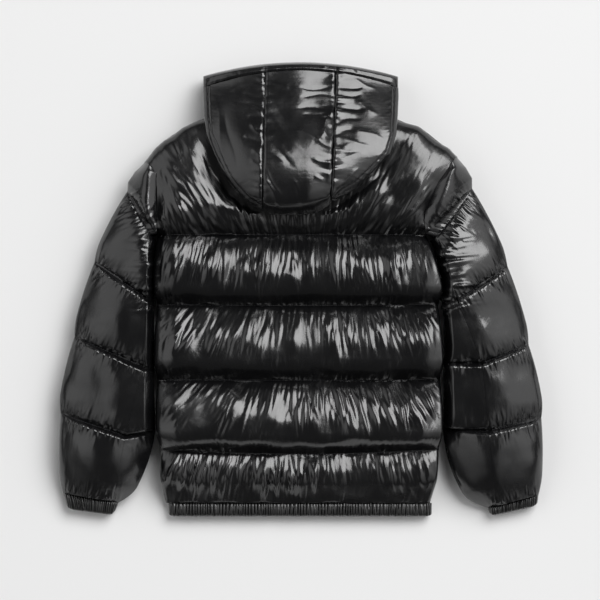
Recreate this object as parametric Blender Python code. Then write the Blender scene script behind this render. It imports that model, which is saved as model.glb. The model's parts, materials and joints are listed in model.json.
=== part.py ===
"""Hooded puffer jacket, laid flat on its front with the hood folded back over the yoke.

Driving sizes are in millimetres. MM turns them into metres when a mesh is made.
+X is the wearer's right, +Y runs from the hem to the hood and +Z points away from
the surface that the jacket lies on. Each padded panel is one closed wall: its outer
points carry the quilting and the gathers, and its inner points are plain.
"""
import math
from collections import namedtuple

import bmesh
import bpy
from mathutils import Vector

MM = 0.001

# ---------------------------------------------------------------- padding and seams
SEAM_GAP = 0.3          # between two pieces that are sewn together
LAYER_Z = 45.0          # height at which the back lies on the fronts
HEM_LAYER_Z = 14.0      # the same, down at the elasticated hem
RIM = 2.5               # thickness of a panel right at its seam
CREST = 42.0            # a back baffle's crest above its seam line
VALLEY = 16.0           # a quilting line above the panel's inner face
HEM_VALLEY = 9.0
SIDE_ROLL = 62.0        # width over which a panel rolls down to its side seam
TOP_ROLL = 65.0         # the same at the shoulder
ARM_ROLL = 50.0         # the same beside the armhole
FRONT_ROLL = 48.0       # the fronts curl up from the surface within this width
PUFF_POWER = 2.3        # fullness of a baffle's section
PUFF_EDGE = 0.72
GATHER_DEPTH = 2.4      # ruching beside a quilting line
GATHER_REACH = 26.0

BodyLine = namedtuple("BodyLine", "name y left right sag left_bulge right_bulge")
BODY_LINES = (
    BodyLine("hem seam", -374.5, -236.0, 229.0, 0.0, 6.0, 7.0),
    BodyLine("fourth quilting line", -280.0, -245.0, 243.0, -8.0, 4.0, 4.0),
    BodyLine("third quilting line", -157.5, -250.0, 246.0, -1.0, 4.0, 4.0),
    BodyLine("second quilting line", -26.0, -250.0, 242.0, -2.0, 5.0, 11.0),
    BodyLine("first quilting line", 96.0, -250.0, 220.0, 0.0, 0.0, 0.0),
)
BAFFLE_STEPS = (0.0, 0.06, 0.2, 0.4, 0.6, 0.8, 0.94)
BODY_COLUMNS = 40
YOKE_STEPS = 9
YOKE_RISE = 0.32        # share of the yoke in which it swells up from the first line

Point = namedtuple("Point", "x y")
ARMHOLE_LEFT = (Point(-250, 96), Point(-250, 119), Point(-250, 149), Point(-250.5, 178),
                Point(-251, 204), Point(-261, 216), Point(-271, 226))
ARMHOLE_RIGHT = (Point(220, 96), Point(216, 119), Point(218, 137), Point(230, 160),
                 Point(241, 188), Point(259, 213), Point(274, 235))
SHOULDER_EDGE = (Point(-271, 226), Point(-257, 245), Point(-238, 262), Point(-224, 271),
                 Point(-208, 282), Point(-180, 297), Point(-130, 313), Point(-89, 324),
                 Point(-45, 314), Point(0, 310), Point(45, 314), Point(89, 324),
                 Point(130, 313), Point(172, 299), Point(206, 284), Point(236, 263),
                 Point(262, 246), Point(274, 235))

# ---------------------------------------------------------------- sleeves
SleeveLine = namedtuple(
    "SleeveLine", "name outer_x outer_y seam_x seam_y inner_x inner_y mid outer_bulge inner_bulge")
SLEEVE_LEFT = (
    SleeveLine("upper arm", -303, 173, -262, 96, -255.2, 88, 38, 7, 0),
    SleeveLine("elbow, above", -360.5, 49, -268, -14, -256.0, -24, 38, 6, 0),
    SleeveLine("elbow, below", -395.5, -82, -275, -134, -256.0, -143, 38, 7, 0),
    SleeveLine("forearm", -420, -217, -304.5, -255, -254.0, -246, 38, 5, 17),
    SleeveLine("cuff seam", -417, -356, -329, -372, -319.5, -374, 16, 0, 0),
)
SLEEVE_RIGHT = (
    SleeveLine("upper arm", 302, 178, 240, 93, 229.0, 86, 38, 7, -7),
    SleeveLine("elbow, above", 364, 42, 275, -18, 249.0, -28, 38, 6, -2),
    SleeveLine("elbow, below", 401, -96, 318, -128, 251.0, -128, 38, 7, 0),
    SleeveLine("forearm", 423.5, -224, 329, -246, 251.0, -241, 38, 5, 27),
    SleeveLine("cuff seam", 420, -360, 343, -380, 331, -383, 16, 0, 0),
)
CAP_EDGE_LEFT = (Point(-274, 222), Point(-290, 207), Point(-302, 189), Point(-303, 173))
CAP_EDGE_RIGHT = (Point(277, 231), Point(291, 215), Point(302, 196), Point(302, 178))
SLEEVE_STEPS = (0.0, 0.07, 0.24, 0.48, 0.74, 0.93)
SLEEVE_CREST = 36.0
SLEEVE_VALLEY = 15.0
SLEEVE_ROLL = 46.0
SLEEVE_SEAM_DIP = 0.22
SLEEVE_SEAM_REACH = 20.0

Cuff = namedtuple("Cuff", "name outer_x outer_y inner_x inner_y end_outer_x end_outer_y"
                          " end_inner_x end_inner_y")
CUFFS = (
    Cuff("cuff_left", -417, -356, -319.5, -374, -409, -385, -326, -396),
    Cuff("cuff_right", 420, -360, 331, -383, 418, -379, 334, -398),
)
CUFF_LAYER_Z = 15.0
CUFF_CREST = 13.0
CUFF_GATHERS = 15
CUFF_SLIT_END = 0.12     # share of the width at which the two layers part

# ---------------------------------------------------------------- hem band
HEM_LEFT, HEM_RIGHT, HEM_BOTTOM = -231.0, 232.0, -398.0
HEM_CREST = 13.0
HEM_GATHERS = 40
HEM_LOW_COLUMNS = 12
HEM_SLIT_END = 14.0       # the back and front layers part this far inside the fold

# ---------------------------------------------------------------- hood
HoodRow = namedtuple("HoodRow", "y left right")
HOOD_OUTLINE = (
    HoodRow(130, -40, 0), HoodRow(133, -58, 26), HoodRow(141, -73, 42), HoodRow(150, -89, 55),
    HoodRow(165, -105, 79), HoodRow(178, -117, 99), HoodRow(201, -133, 124),
    HoodRow(215, -140, 137), HoodRow(235, -149, 157), HoodRow(271, -163, 168),
    HoodRow(305, -168, 171), HoodRow(340, -170, 173), HoodRow(378, -170, 172),
)
HoodLevel = namedtuple("HoodLevel", "y fold crest")
HOOD_LEVELS = (
    HoodLevel(130, 104, 138), HoodLevel(165, 108, 148), HoodLevel(200, 109, 152),
    HoodLevel(245, 106, 148), HoodLevel(285, 94, 136), HoodLevel(315, 74, 116),
    HoodLevel(345, 46, 90), HoodLevel(370, 37, 76), HoodLevel(400, 35, 70),
)
HOOD_SEAT = 80.0                      # the yoke is pressed down to here under the hood
HOOD_SEAM_TOP_LEFT, HOOD_SEAM_LOW_LEFT = Point(-61, 385), Point(-66, 130)
HOOD_SEAM_TOP_RIGHT, HOOD_SEAM_LOW_RIGHT = Point(63, 385), Point(53, 130)
HOOD_TIP_LEFT, HOOD_TIP_RIGHT = 142.0, 155.0
HOOD_BAND_Y, HOOD_BAND_ARC = 355.0, 28.0
HOOD_BAND_WIDTH = 19.0
HOOD_BAND_GAP = 0.5        # a little more than a straight seam's, as the two edges are facets of an arc
HOOD_HALF_WIDTH = 171.0
HOOD_ROLL = 60.0
HOOD_SEAM_DIP = 11.0
HOOD_SEAM_REACH = 24.0
HOOD_OFF_SHOULDER = 4.0        # the hood bridges the shoulder's roll by this much
HOOD_BRIDGE = 9.0
HOOD_UNDER_END = 300.0
HOOD_CLEAR_OF_SHOULDER = 14.0
HOOD_SHOULDER_DROP = 18.0
HOOD_ROWS = (0.0, 0.025, 0.08, 0.15, 0.21, 0.26, 0.31, 0.36, 0.41, 0.46, 0.52, 0.6, 0.7, 0.8, 0.88,
             0.94, 0.98, 1.0)

# ---------------------------------------------------------------- front zip
ZIP_HALF_GAP = 8.0
TEETH_HALF_WIDTH = 3.0
TEETH_LOW, TEETH_HIGH = 8.0, 10.4
TAPE_LOW, TAPE_HIGH = 8.4, 9.9
ZIP_BOTTOM, ZIP_TOP = -396.0, 358.0
SLIDER_HALF_WIDTH, SLIDER_LENGTH, SLIDER_PLATE = 4.9, 13.0, 2.4
PIN_Y_BELOW_TOP = 6.0
PIN_Z, PIN_RADIUS = 2.3, 0.9
EYE_RADIUS, BORE_RADIUS = 2.3, 1.25
PULL_HALF_WIDTH, PULL_LENGTH, PULL_THICKNESS = 3.0, 32.0, 1.6
LUG_INNER, LUG_OUTER = 3.3, 4.7
ROUND_SIDES = 20


# ================================================================ small helpers
def clamp(value, low=0.0, high=1.0):
    return max(low, min(high, value))


def lerp(a, b, share):
    return a + (b - a) * share


def smooth(share):
    share = clamp(share)
    return share * share * (3.0 - 2.0 * share)


def roll(distance, width):
    """Quarter ellipse: 0 at a panel's edge, 1 where it lies full."""
    away = 1.0 - clamp(distance / width)
    return math.sqrt(max(0.0, 1.0 - away * away))


def pillow(share):
    """Section of a baffle between two quilting lines, 0 at the lines and 1 between them."""
    away = abs(2.0 * clamp(share) - 1.0)
    return (1.0 - away ** PUFF_POWER) ** PUFF_EDGE


def table_value(rows, key, column):
    """Read a column of a table between its rows, which rise in y."""
    if key <= rows[0].y:
        return getattr(rows[0], column)
    for low, high in zip(rows, rows[1:]):
        if key <= high.y:
            return lerp(getattr(low, column), getattr(high, column), (key - low.y) / (high.y - low.y))
    return getattr(rows[-1], column)


def along(points, share):
    """Point at a share of a polyline's length."""
    lengths = [math.hypot(b.x - a.x, b.y - a.y) for a, b in zip(points, points[1:])]
    rest = clamp(share) * sum(lengths)
    for a, b, length in zip(points, points[1:], lengths):
        if rest <= length:
            return Point(lerp(a.x, b.x, rest / length), lerp(a.y, b.y, rest / length))
        rest -= length
    return points[-1]


def edge_y(points, x):
    """Height of an edge line, given by points that rise in x."""
    for a, b in zip(points, points[1:]):
        if x <= b.x:
            return lerp(a.y, b.y, clamp((x - a.x) / (b.x - a.x)))
    return points[-1].y


def spread(count, bunching=0.45):
    """Shares from 0 to 1 that lie closer together at both ends."""
    shares = []
    for index in range(count + 1):
        even = index / count
        bunched = 0.5 - 0.5 * math.cos(math.pi * even)
        shares.append(lerp(even, bunched, bunching))
    return shares


def uneven(index, salt):
    """A fixed, uneven number from 0 to 1, so that no two gathers are alike."""
    return (math.sin(index * 12.9898 + salt * 78.233) * 43758.5453) % 1.0


# ================================================================ meshes and materials
def finish_mesh(name, mesh_work, finish):
    """Turn a bmesh in millimetres into an object of its own, in metres."""
    bmesh.ops.recalc_face_normals(mesh_work, faces=mesh_work.faces[:])
    for vertex in mesh_work.verts:
        vertex.co *= MM
    mesh = bpy.data.meshes.new(name)
    mesh_work.to_mesh(mesh)
    mesh_work.free()
    mesh.shade_smooth()
    mesh.materials.append(make_material(name, finish))
    item = bpy.data.objects.new(name, mesh)
    bpy.context.scene.collection.objects.link(item)
    return item


def make_material(name, finish):
    material = bpy.data.materials.new(name)
    material.use_nodes = True
    shader = material.node_tree.nodes["Principled BSDF"]
    shader.inputs["Base Color"].default_value = finish.colour + (1.0,)
    shader.inputs["Roughness"].default_value = finish.roughness
    shader.inputs["Metallic"].default_value = finish.metallic
    return material


Finish = namedtuple("Finish", "colour roughness metallic")
GLOSSY_NYLON = Finish((0.012, 0.012, 0.013), 0.22, 0.0)
RUCHED_NYLON = Finish((0.011, 0.011, 0.012), 0.4, 0.0)
ZIP_TAPE = Finish((0.015, 0.015, 0.015), 0.8, 0.0)
ZIP_TEETH = Finish((0.02, 0.02, 0.022), 0.35, 0.0)
ZIP_METAL = Finish((0.03, 0.03, 0.032), 0.3, 1.0)


def strip_between(mesh_work, first, second):
    """Close the strip between two rows of vertices, keeping their shares of the way level."""
    i = j = 0
    while i < len(first) - 1 or j < len(second) - 1:
        share_first = (i + 1) / (len(first) - 1) if i < len(first) - 1 else 2.0
        share_second = (j + 1) / (len(second) - 1) if j < len(second) - 1 else 2.0
        if share_first <= share_second:
            mesh_work.faces.new((first[i], first[i + 1], second[j]))
            i += 1
        else:
            mesh_work.faces.new((first[i], second[j + 1], second[j]))
            j += 1


def wall(name, outer_rows, inner_rows, finish):
    """Closed wall between an outer and an inner sheet of points, row by row."""
    mesh_work = bmesh.new()
    outer = [[mesh_work.verts.new(point) for point in row] for row in outer_rows]
    inner = [[mesh_work.verts.new(point) for point in row] for row in inner_rows]
    for sheet in (outer, inner):
        for low, high in zip(sheet, sheet[1:]):
            for a, b, c, d in zip(low, low[1:], high[1:], high):
                mesh_work.faces.new((a, b, c, d))
    for end in (0, -1):
        outer_side = [row[end] for row in outer]
        inner_side = [row[end] for row in inner]
        for a, b, c, d in zip(outer_side, outer_side[1:], inner_side[1:], inner_side):
            mesh_work.faces.new((a, b, c, d))
        strip_between(mesh_work, outer[end], inner[end])
    return finish_mesh(name, mesh_work, finish)


# ================================================================ body
def layer_z(y):
    """Height of the seam between the back and the fronts, which drops towards the hem."""
    return lerp(HEM_LAYER_Z, LAYER_Z, smooth((y - BODY_LINES[0].y) / 62.0))


def valley_z(y):
    return lerp(HEM_VALLEY, VALLEY, smooth((y - BODY_LINES[0].y) / 40.0))


def shoulder_y(x):
    return edge_y(SHOULDER_EDGE, x)


BodyRow = namedtuple("BodyRow", "places fullness nearest yoke number")
Place = namedtuple("Place", "x y share")


def body_rows(shares, sagging=1.0):
    """Plan of the body's rows of points, from the hem seam to the shoulders."""
    rows = []
    for low, high in zip(BODY_LINES, BODY_LINES[1:]):
        for step in BAFFLE_STEPS:
            full = pillow(step)
            left = lerp(low.left, high.left, step) - low.left_bulge * full
            right = lerp(low.right, high.right, step) + low.right_bulge * full
            places = []
            for share in shares:
                sag = lerp(low.sag, high.sag, step) * math.sin(math.pi * share) * sagging
                places.append(Place(lerp(left, right, share), lerp(low.y, high.y, step) + sag, share))
            nearest = min(step, 1.0 - step) * (high.y - low.y)
            rows.append(BodyRow(places, full, nearest, 0.0, len(rows)))
    line = BODY_LINES[-1]
    corners = ARMHOLE_LEFT[0], ARMHOLE_RIGHT[0], ARMHOLE_LEFT[-1], ARMHOLE_RIGHT[-1]
    for step in range(YOKE_STEPS + 1):
        up = step / YOKE_STEPS
        left, right = along(ARMHOLE_LEFT, up), along(ARMHOLE_RIGHT, up)
        places = []
        for share in shares:
            top_x = lerp(corners[2].x, corners[3].x, share)
            point = [
                lerp(lerp(line.left, line.right, share), top_x, up),
                lerp(line.y, shoulder_y(top_x), up),
            ]
            for axis in (0, 1):
                point[axis] += lerp(left[axis], right[axis], share)
                low = lerp(corners[0][axis], corners[1][axis], share)
                high = lerp(corners[2][axis], corners[3][axis], share)
                point[axis] -= lerp(low, high, up)
            places.append(Place(point[0], point[1], share))
        swell = (1.0 - (1.0 - clamp(up / YOKE_RISE)) ** PUFF_POWER) ** PUFF_EDGE
        rows.append(BodyRow(places, swell, up * 180.0, up, len(rows)))
    return rows


def hood_outline_gap(x, y):
    """Distance from a point to the hood's outline, negative inside it."""
    if y < HOOD_OUTLINE[0].y:
        return HOOD_OUTLINE[0].y - y + max(0.0, abs(x + 20.0) - 20.0) * 0.5
    left = table_value(HOOD_OUTLINE, y, "left")
    right = table_value(HOOD_OUTLINE, y, "right")
    return max(left - x, x - right)


def back_height(row, place, gather=True):
    """Height of the back's outer face over its inner face."""
    low, high = row.places[0].x, row.places[-1].x
    side = min(place.x - low, high - place.x)
    valley = valley_z(place.y)
    if row.yoke > 0.0:
        over = roll(shoulder_y(place.x) - place.y, TOP_ROLL)
        seam = valley * over
        height = seam + (lerp(valley, CREST, row.fullness) * over - seam) * roll(side, ARM_ROLL)
    else:
        height = lerp(valley, CREST, row.fullness) * roll(side, SIDE_ROLL)
        over = 1.0
    if gather:
        column = round(place.share * BODY_COLUMNS * 8)
        reach = math.exp(-row.nearest / GATHER_REACH) * smooth(side / 30.0) * smooth(over)
        swing = 1.0 if place.index % 2 else -1.0
        depth = GATHER_DEPTH * (0.5 + uneven(column, row.number // len(BAFFLE_STEPS)))
        height += swing * depth * reach * row.fullness ** 0.3
    return height


GatheredPlace = namedtuple("GatheredPlace", "x y share index")


INNER_SHARES = (0.0, 0.25, 0.5, 0.75, 1.0)


def build_back():
    rows = body_rows(spread(BODY_COLUMNS))
    outer, inner = [], []
    for row in rows:
        points = []
        for index, place in enumerate(row.places):
            spot = GatheredPlace(place.x, place.y, place.share, index)
            z = layer_z(place.y) + SEAM_GAP / 2 + RIM + back_height(row, spot)
            pressed = HOOD_SEAT + max(0.0, hood_outline_gap(place.x, place.y) - 24.0) * 0.35
            points.append((place.x, place.y, min(z, pressed)))
        outer.append(points)
    for row in body_rows(INNER_SHARES, sagging=0.0):
        inner.append([(place.x, place.y, layer_z(place.y) + SEAM_GAP / 2) for place in row.places])
    return wall("back", outer, inner, GLOSSY_NYLON)


FRONT_SHARES = (0.0, 0.006, 0.018, 0.04, 0.075, 0.125, 0.2, 0.34, 0.48)


def front_underside(row, place, side):
    """Height of a front's outer face: flat on the surface, curling up at its edges."""
    top = layer_z(place.y) - SEAM_GAP / 2 - RIM
    full = lerp(0.42, 1.25, row.fullness)
    if row.yoke > 0.0:
        lift = lerp(1.25, full, 0.3) * roll(shoulder_y(place.x) - place.y, TOP_ROLL)
        return max(0.0, top - top * lift)
    near_edge = 1.0 - smooth((side - 18.0) / 34.0)
    share = lerp(1.25, full, near_edge) * roll(side, FRONT_ROLL)
    return max(0.0, top - top * share)


def build_front(side):
    """One front panel; side is -1 for the wearer's left and 1 for the right."""
    shares = [share if side < 0 else 1.0 - share for share in FRONT_SHARES]
    outer, inner = [], []
    for row in body_rows(shares, sagging=0.0):
        seam = row.places[0]
        points = []
        for place in row.places:
            z = front_underside(row, place, abs(place.x - seam.x))
            points.append((place.x, place.y, z))
        points[-1] = (side * ZIP_HALF_GAP, points[-1][1], points[-1][2])
        outer.append(points)
        inner.append([(x, y, layer_z(y) - SEAM_GAP / 2) for x, y, z in (points[0], points[-3], points[-1])])
    name = "front_left" if side < 0 else "front_right"
    return wall(name, outer, inner, GLOSSY_NYLON)


# ================================================================ sleeves
SleeveRow = namedtuple("SleeveRow", "outer seam inner mid fullness cap nearest")


def bulged(a, b, share, amount, away):
    """A point between a and b, pushed sideways by amount on the side of the sign away."""
    dx, dy = b.x - a.x, b.y - a.y
    length = math.hypot(dx, dy)
    push = amount * pillow(share) * away
    return Point(lerp(a.x, b.x, share) - dy / length * push, lerp(a.y, b.y, share) + dx / length * push)


def sleeve_rows(side):
    """Plan of a sleeve's rows, from the shoulder point to the cuff seam."""
    lines = SLEEVE_LEFT if side < 0 else SLEEVE_RIGHT
    armhole = ARMHOLE_LEFT if side < 0 else ARMHOLE_RIGHT
    cap_edge = CAP_EDGE_LEFT if side < 0 else CAP_EDGE_RIGHT
    rows = []
    for step in range(YOKE_STEPS):
        down = step / YOKE_STEPS
        seam = along(armhole, 1.0 - down)
        inner = Point(seam.x + side * SEAM_GAP, seam.y)
        outer = along(cap_edge, down)
        swell = (1.0 - (1.0 - clamp((1.0 - down) / 0.3)) ** PUFF_POWER) ** PUFF_EDGE
        rows.append(SleeveRow(outer, inner, inner, lines[0].mid, swell, 1.0, (1.0 - down) * 90.0))
    for low, high in zip(lines, lines[1:]):
        for step in SLEEVE_STEPS:
            outer = bulged(Point(low.outer_x, low.outer_y), Point(high.outer_x, high.outer_y),
                           step, low.outer_bulge, side)
            inner = bulged(Point(low.inner_x, low.inner_y), Point(high.inner_x, high.inner_y),
                           step, low.inner_bulge, -side)
            seam = Point(lerp(low.seam_x, high.seam_x, step), lerp(low.seam_y, high.seam_y, step))
            mid = lerp(low.mid, high.mid, smooth(step * step))
            nearest = min(step, 1.0 - step) * 135.0
            rows.append(SleeveRow(outer, seam, inner, mid, pillow(step), 0.0, nearest))
    last = lines[-1]
    rows.append(SleeveRow(Point(last.outer_x, last.outer_y), Point(last.seam_x, last.seam_y),
                          Point(last.inner_x, last.inner_y), last.mid, 0.0, 0.0, 0.0))
    return rows


def gap_between(a, b):
    return math.hypot(a.x - b.x, a.y - b.y)


def sleeve_top(row, spot):
    """Height of the sleeve's upper face over its fold line at a point of the plan."""
    crest = SLEEVE_CREST * lerp(0.62, 1.0, clamp((row.mid - 16.0) / 22.0))
    valley = SLEEVE_VALLEY * lerp(0.75, 1.0, clamp((row.mid - 16.0) / 22.0))
    height = lerp(valley, crest, row.fullness) * roll(gap_between(spot, row.outer), SLEEVE_ROLL)
    to_inner = gap_between(spot, row.inner)
    if row.cap:
        floor = min(height, SLEEVE_VALLEY)
        return floor + (height - floor) * roll(to_inner, ARM_ROLL)
    dip = 1.0 - SLEEVE_SEAM_DIP * (1.0 - roll(gap_between(spot, row.seam), SLEEVE_SEAM_REACH))
    return height * roll(to_inner, SLEEVE_ROLL * 0.8) * dip


def sleeve_bottom(row, spot):
    """The sleeve's under face: flat on the surface, curling up at both folds."""
    top = row.mid - RIM
    edge = gap_between(spot, row.outer)
    if not row.cap:
        edge = min(edge, gap_between(spot, row.inner))
    near_edge = 1.0 - smooth((edge - 14.0) / 26.0)
    full = lerp(1.3, lerp(0.5, 1.3, row.fullness), near_edge)
    return max(0.0, top - top * full * roll(edge, SLEEVE_ROLL * 0.8))


def plan_point(a, b, share):
    return Point(lerp(a.x, b.x, share), lerp(a.y, b.y, share))


def sleeve_ring(row, start, fold, top_shares, low_shares, slit_share):
    """Outer and inner points of one row, from the top seam round the fold to the low seam."""
    outer = []
    for share in top_shares:
        spot = plan_point(start, fold, share)
        outer.append((spot.x, spot.y, row.mid + RIM + sleeve_top(row, spot) * (share < 1.0)))
    for share in low_shares:
        spot = plan_point(start, fold, share)
        outer.append((spot.x, spot.y, sleeve_bottom(row, spot)))
    end = plan_point(start, fold, slit_share)
    half = SEAM_GAP / 2
    inner = [(start.x, start.y, row.mid + half), (end.x, end.y, row.mid), (start.x, start.y, row.mid - half)]
    return outer, inner


UPPER_TOP = (0.0, 0.07, 0.2, 0.38, 0.56, 0.72, 0.85, 0.94, 0.985, 1.0)
UPPER_LOW = (0.97, 0.88, 0.7, 0.35, 0.0)
UNDER_TOP = (0.0, 0.15, 0.4, 0.7, 0.9, 1.0)
UNDER_LOW = (0.93, 0.75, 0.4, 0.0)


def build_sleeve(side):
    word = "left" if side < 0 else "right"
    half = SEAM_GAP / 2
    upper, under = ([], []), ([], [])
    for row in sleeve_rows(side):
        start = row.seam if row.cap else Point(row.seam.x + side * half, row.seam.y)
        outer, inner = sleeve_ring(row, start, row.outer, UPPER_TOP, UPPER_LOW, 0.78)
        upper[0].append(outer)
        upper[1].append(inner)
        if not row.cap:
            start = Point(row.seam.x - side * half, row.seam.y)
            outer, inner = sleeve_ring(row, start, row.inner, UNDER_TOP, UNDER_LOW, 0.5)
            under[0].append(outer)
            under[1].append(inner)
    return (wall("sleeve_upper_" + word, upper[0], upper[1], GLOSSY_NYLON),
            wall("sleeve_under_" + word, under[0], under[1], GLOSSY_NYLON))


def gathered_tube(name, outer_rows, inner_rows, finish):
    """Closed tube: two round sheets of points, joined by an end ring at each end."""
    mesh_work = bmesh.new()
    outer = [[mesh_work.verts.new(point) for point in row] for row in outer_rows]
    inner = [[mesh_work.verts.new(point) for point in row] for row in inner_rows]
    for sheet in (outer, inner):
        for low, high in zip(sheet, sheet[1:]):
            for k in range(len(low)):
                after = (k + 1) % len(low)
                mesh_work.faces.new((low[k], low[after], high[after], high[k]))
    for end in (0, -1):
        for k in range(len(outer[end])):
            after = (k + 1) % len(outer[end])
            mesh_work.faces.new((outer[end][k], outer[end][after], inner[end][after], inner[end][k]))
    return finish_mesh(name, mesh_work, finish)


def build_cuff(cuff):
    """Flattened, gathered ring of elasticated cloth at the end of a sleeve."""
    outer_rows, inner_rows = [], []
    for step, thickness in ((0.012, 0.82), (0.5, 1.05), (1.0, 0.7)):
        a = Point(lerp(cuff.outer_x, cuff.end_outer_x, step), lerp(cuff.outer_y, cuff.end_outer_y, step))
        b = Point(lerp(cuff.inner_x, cuff.end_inner_x, step), lerp(cuff.inner_y, cuff.end_inner_y, step))
        outer, inner = [], []
        count = CUFF_GATHERS * 2
        for layer in (1, -1):
            for k in range(count):
                share = k / count if layer > 0 else 1.0 - k / count
                spot = plan_point(a, b, share)
                edge = min(share, 1.0 - share) * gap_between(a, b)
                full = roll(edge, 12.0) * thickness
                ripple = (1.0 if k % 2 else -1.0) * smooth(edge / 8.0)
                if layer > 0:
                    z = CUFF_LAYER_Z + RIM * 0.6 + (CUFF_CREST - RIM) * full + ripple
                else:
                    z = max(0.0, CUFF_LAYER_Z - RIM * 0.6 - CUFF_LAYER_Z * 1.2 * full)
                outer.append((spot.x, spot.y, z))
                slit = plan_point(a, b, lerp(CUFF_SLIT_END, 1.0 - CUFF_SLIT_END, share))
                shift = layer * SEAM_GAP / 2 * min(1.0, 6.0 * min(share, 1.0 - share))
                inner.append((slit.x, slit.y, CUFF_LAYER_Z + shift))
        outer_rows.append(outer)
        inner_rows.append(inner)
    return gathered_tube(cuff.name, outer_rows, inner_rows, RUCHED_NYLON)


def build_hem_band():
    """Elasticated band round the hem, open at the centre front for the zip."""
    top_y = BODY_LINES[0].y - SEAM_GAP
    count = HEM_GATHERS * 2
    path = []
    for k in range(HEM_LOW_COLUMNS + 1):
        path.append((lerp(-ZIP_HALF_GAP, HEM_LEFT, k / HEM_LOW_COLUMNS), -1))
    for k in range(1, count + 1):
        path.append((lerp(HEM_LEFT, HEM_RIGHT, k / (count + 1)), 1))
    for k in range(HEM_LOW_COLUMNS + 1):
        path.append((lerp(HEM_RIGHT, ZIP_HALF_GAP, k / HEM_LOW_COLUMNS), -1))
    outer_rows, inner_rows = [], []
    for step, thickness in ((0.0, 0.8), (0.5, 1.05), (1.0, 0.65)):
        outer, inner = [], []
        for k, (x, layer) in enumerate(path):
            edge = min(x - HEM_LEFT, HEM_RIGHT - x)
            full = roll(edge, 14.0) * thickness
            corner = 5.0 * (1.0 - roll(edge, 12.0)) * step
            y = lerp(top_y, HEM_BOTTOM + corner, step)
            ripple = (0.9 if k % 2 else -0.9) * smooth(edge / 8.0)
            if layer > 0:
                z = HEM_LAYER_Z + RIM * 0.6 + (HEM_CREST - RIM) * full + ripple
            else:
                z = max(0.0, HEM_LAYER_Z - RIM * 0.6 - HEM_LAYER_Z * 1.2 * full)
            outer.append((x, y, z))
            share = (abs(x) - ZIP_HALF_GAP) / (HEM_RIGHT - ZIP_HALF_GAP)
            within = x - math.copysign(HEM_SLIT_END * max(0.0, share), x)
            inner.append((within, y, HEM_LAYER_Z + layer * SEAM_GAP / 2 * min(1.0, (edge + 1.0) / 14.0)))
        outer_rows.append(outer)
        inner_rows.append(inner[:-1:4] + inner[-1:])
    return wall("hem_band", outer_rows, inner_rows, RUCHED_NYLON)


# ================================================================ hood
def hood_seam_x(side, y):
    top = HOOD_SEAM_TOP_LEFT if side < 0 else HOOD_SEAM_TOP_RIGHT
    low = HOOD_SEAM_LOW_LEFT if side < 0 else HOOD_SEAM_LOW_RIGHT
    return lerp(low.x, top.x, (y - low.y) / (top.y - low.y))


def mouth_arc(x):
    return HOOD_BAND_ARC * max(0.0, 1.0 - (x / HOOD_HALF_WIDTH) ** 2)


def outline_distance(x, y):
    """Distance inward from the hood's left, right and crown outline."""
    nearest = 400.0
    for column in ("left", "right"):
        for low, high in zip(HOOD_OUTLINE, HOOD_OUTLINE[1:]):
            ax, bx = getattr(low, column), getattr(high, column)
            dx, dy = bx - ax, high.y - low.y
            share = clamp(((x - ax) * dx + (y - low.y) * dy) / (dx * dx + dy * dy))
            nearest = min(nearest, math.hypot(x - ax - dx * share, y - low.y - dy * share))
    first = HOOD_OUTLINE[0]
    if first.left <= x <= first.right:
        nearest = min(nearest, y - first.y)
    return max(0.0, nearest)


def hood_top(x, y):
    """Height of the hood's visible face."""
    fold = table_value(HOOD_LEVELS, y, "fold") + RIM
    crest = table_value(HOOD_LEVELS, y, "crest")
    dip = 0.0
    for side in (-1, 1):
        dip = max(dip, 1.0 - roll(abs(x - hood_seam_x(side, y)), HOOD_SEAM_REACH))
    height = (crest - fold) * roll(outline_distance(x, y), HOOD_ROLL)
    return fold + height - min(HOOD_SEAM_DIP * dip, height * 0.6)


def hood_rest(x, y):
    """Height of what the hood lies on: the yoke, the shoulders, then the surface."""
    beyond = y - shoulder_y(x)
    if beyond <= HOOD_CLEAR_OF_SHOULDER:
        rolled = LAYER_Z + RIM + HOOD_OFF_SHOULDER + CREST * roll(HOOD_BRIDGE - beyond, TOP_ROLL)
        return min(HOOD_SEAT + SEAM_GAP, rolled)
    return (LAYER_Z + RIM + HOOD_OFF_SHOULDER) * (1.0 - smooth((beyond - HOOD_CLEAR_OF_SHOULDER) / HOOD_SHOULDER_DROP))


def hood_bottom(x, y):
    fold = table_value(HOOD_LEVELS, y, "fold") - RIM
    rest = hood_rest(x, y)
    return max(rest, fold - (fold - rest) * 1.15 * roll(outline_distance(x, y), HOOD_ROLL * 0.7))


SIDE_TOP = (0.0, 0.1, 0.25, 0.45, 0.62, 0.78, 0.9, 0.97, 1.0)
SIDE_LOW = (0.95, 0.82, 0.6, 0.3, 0.0)


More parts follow.
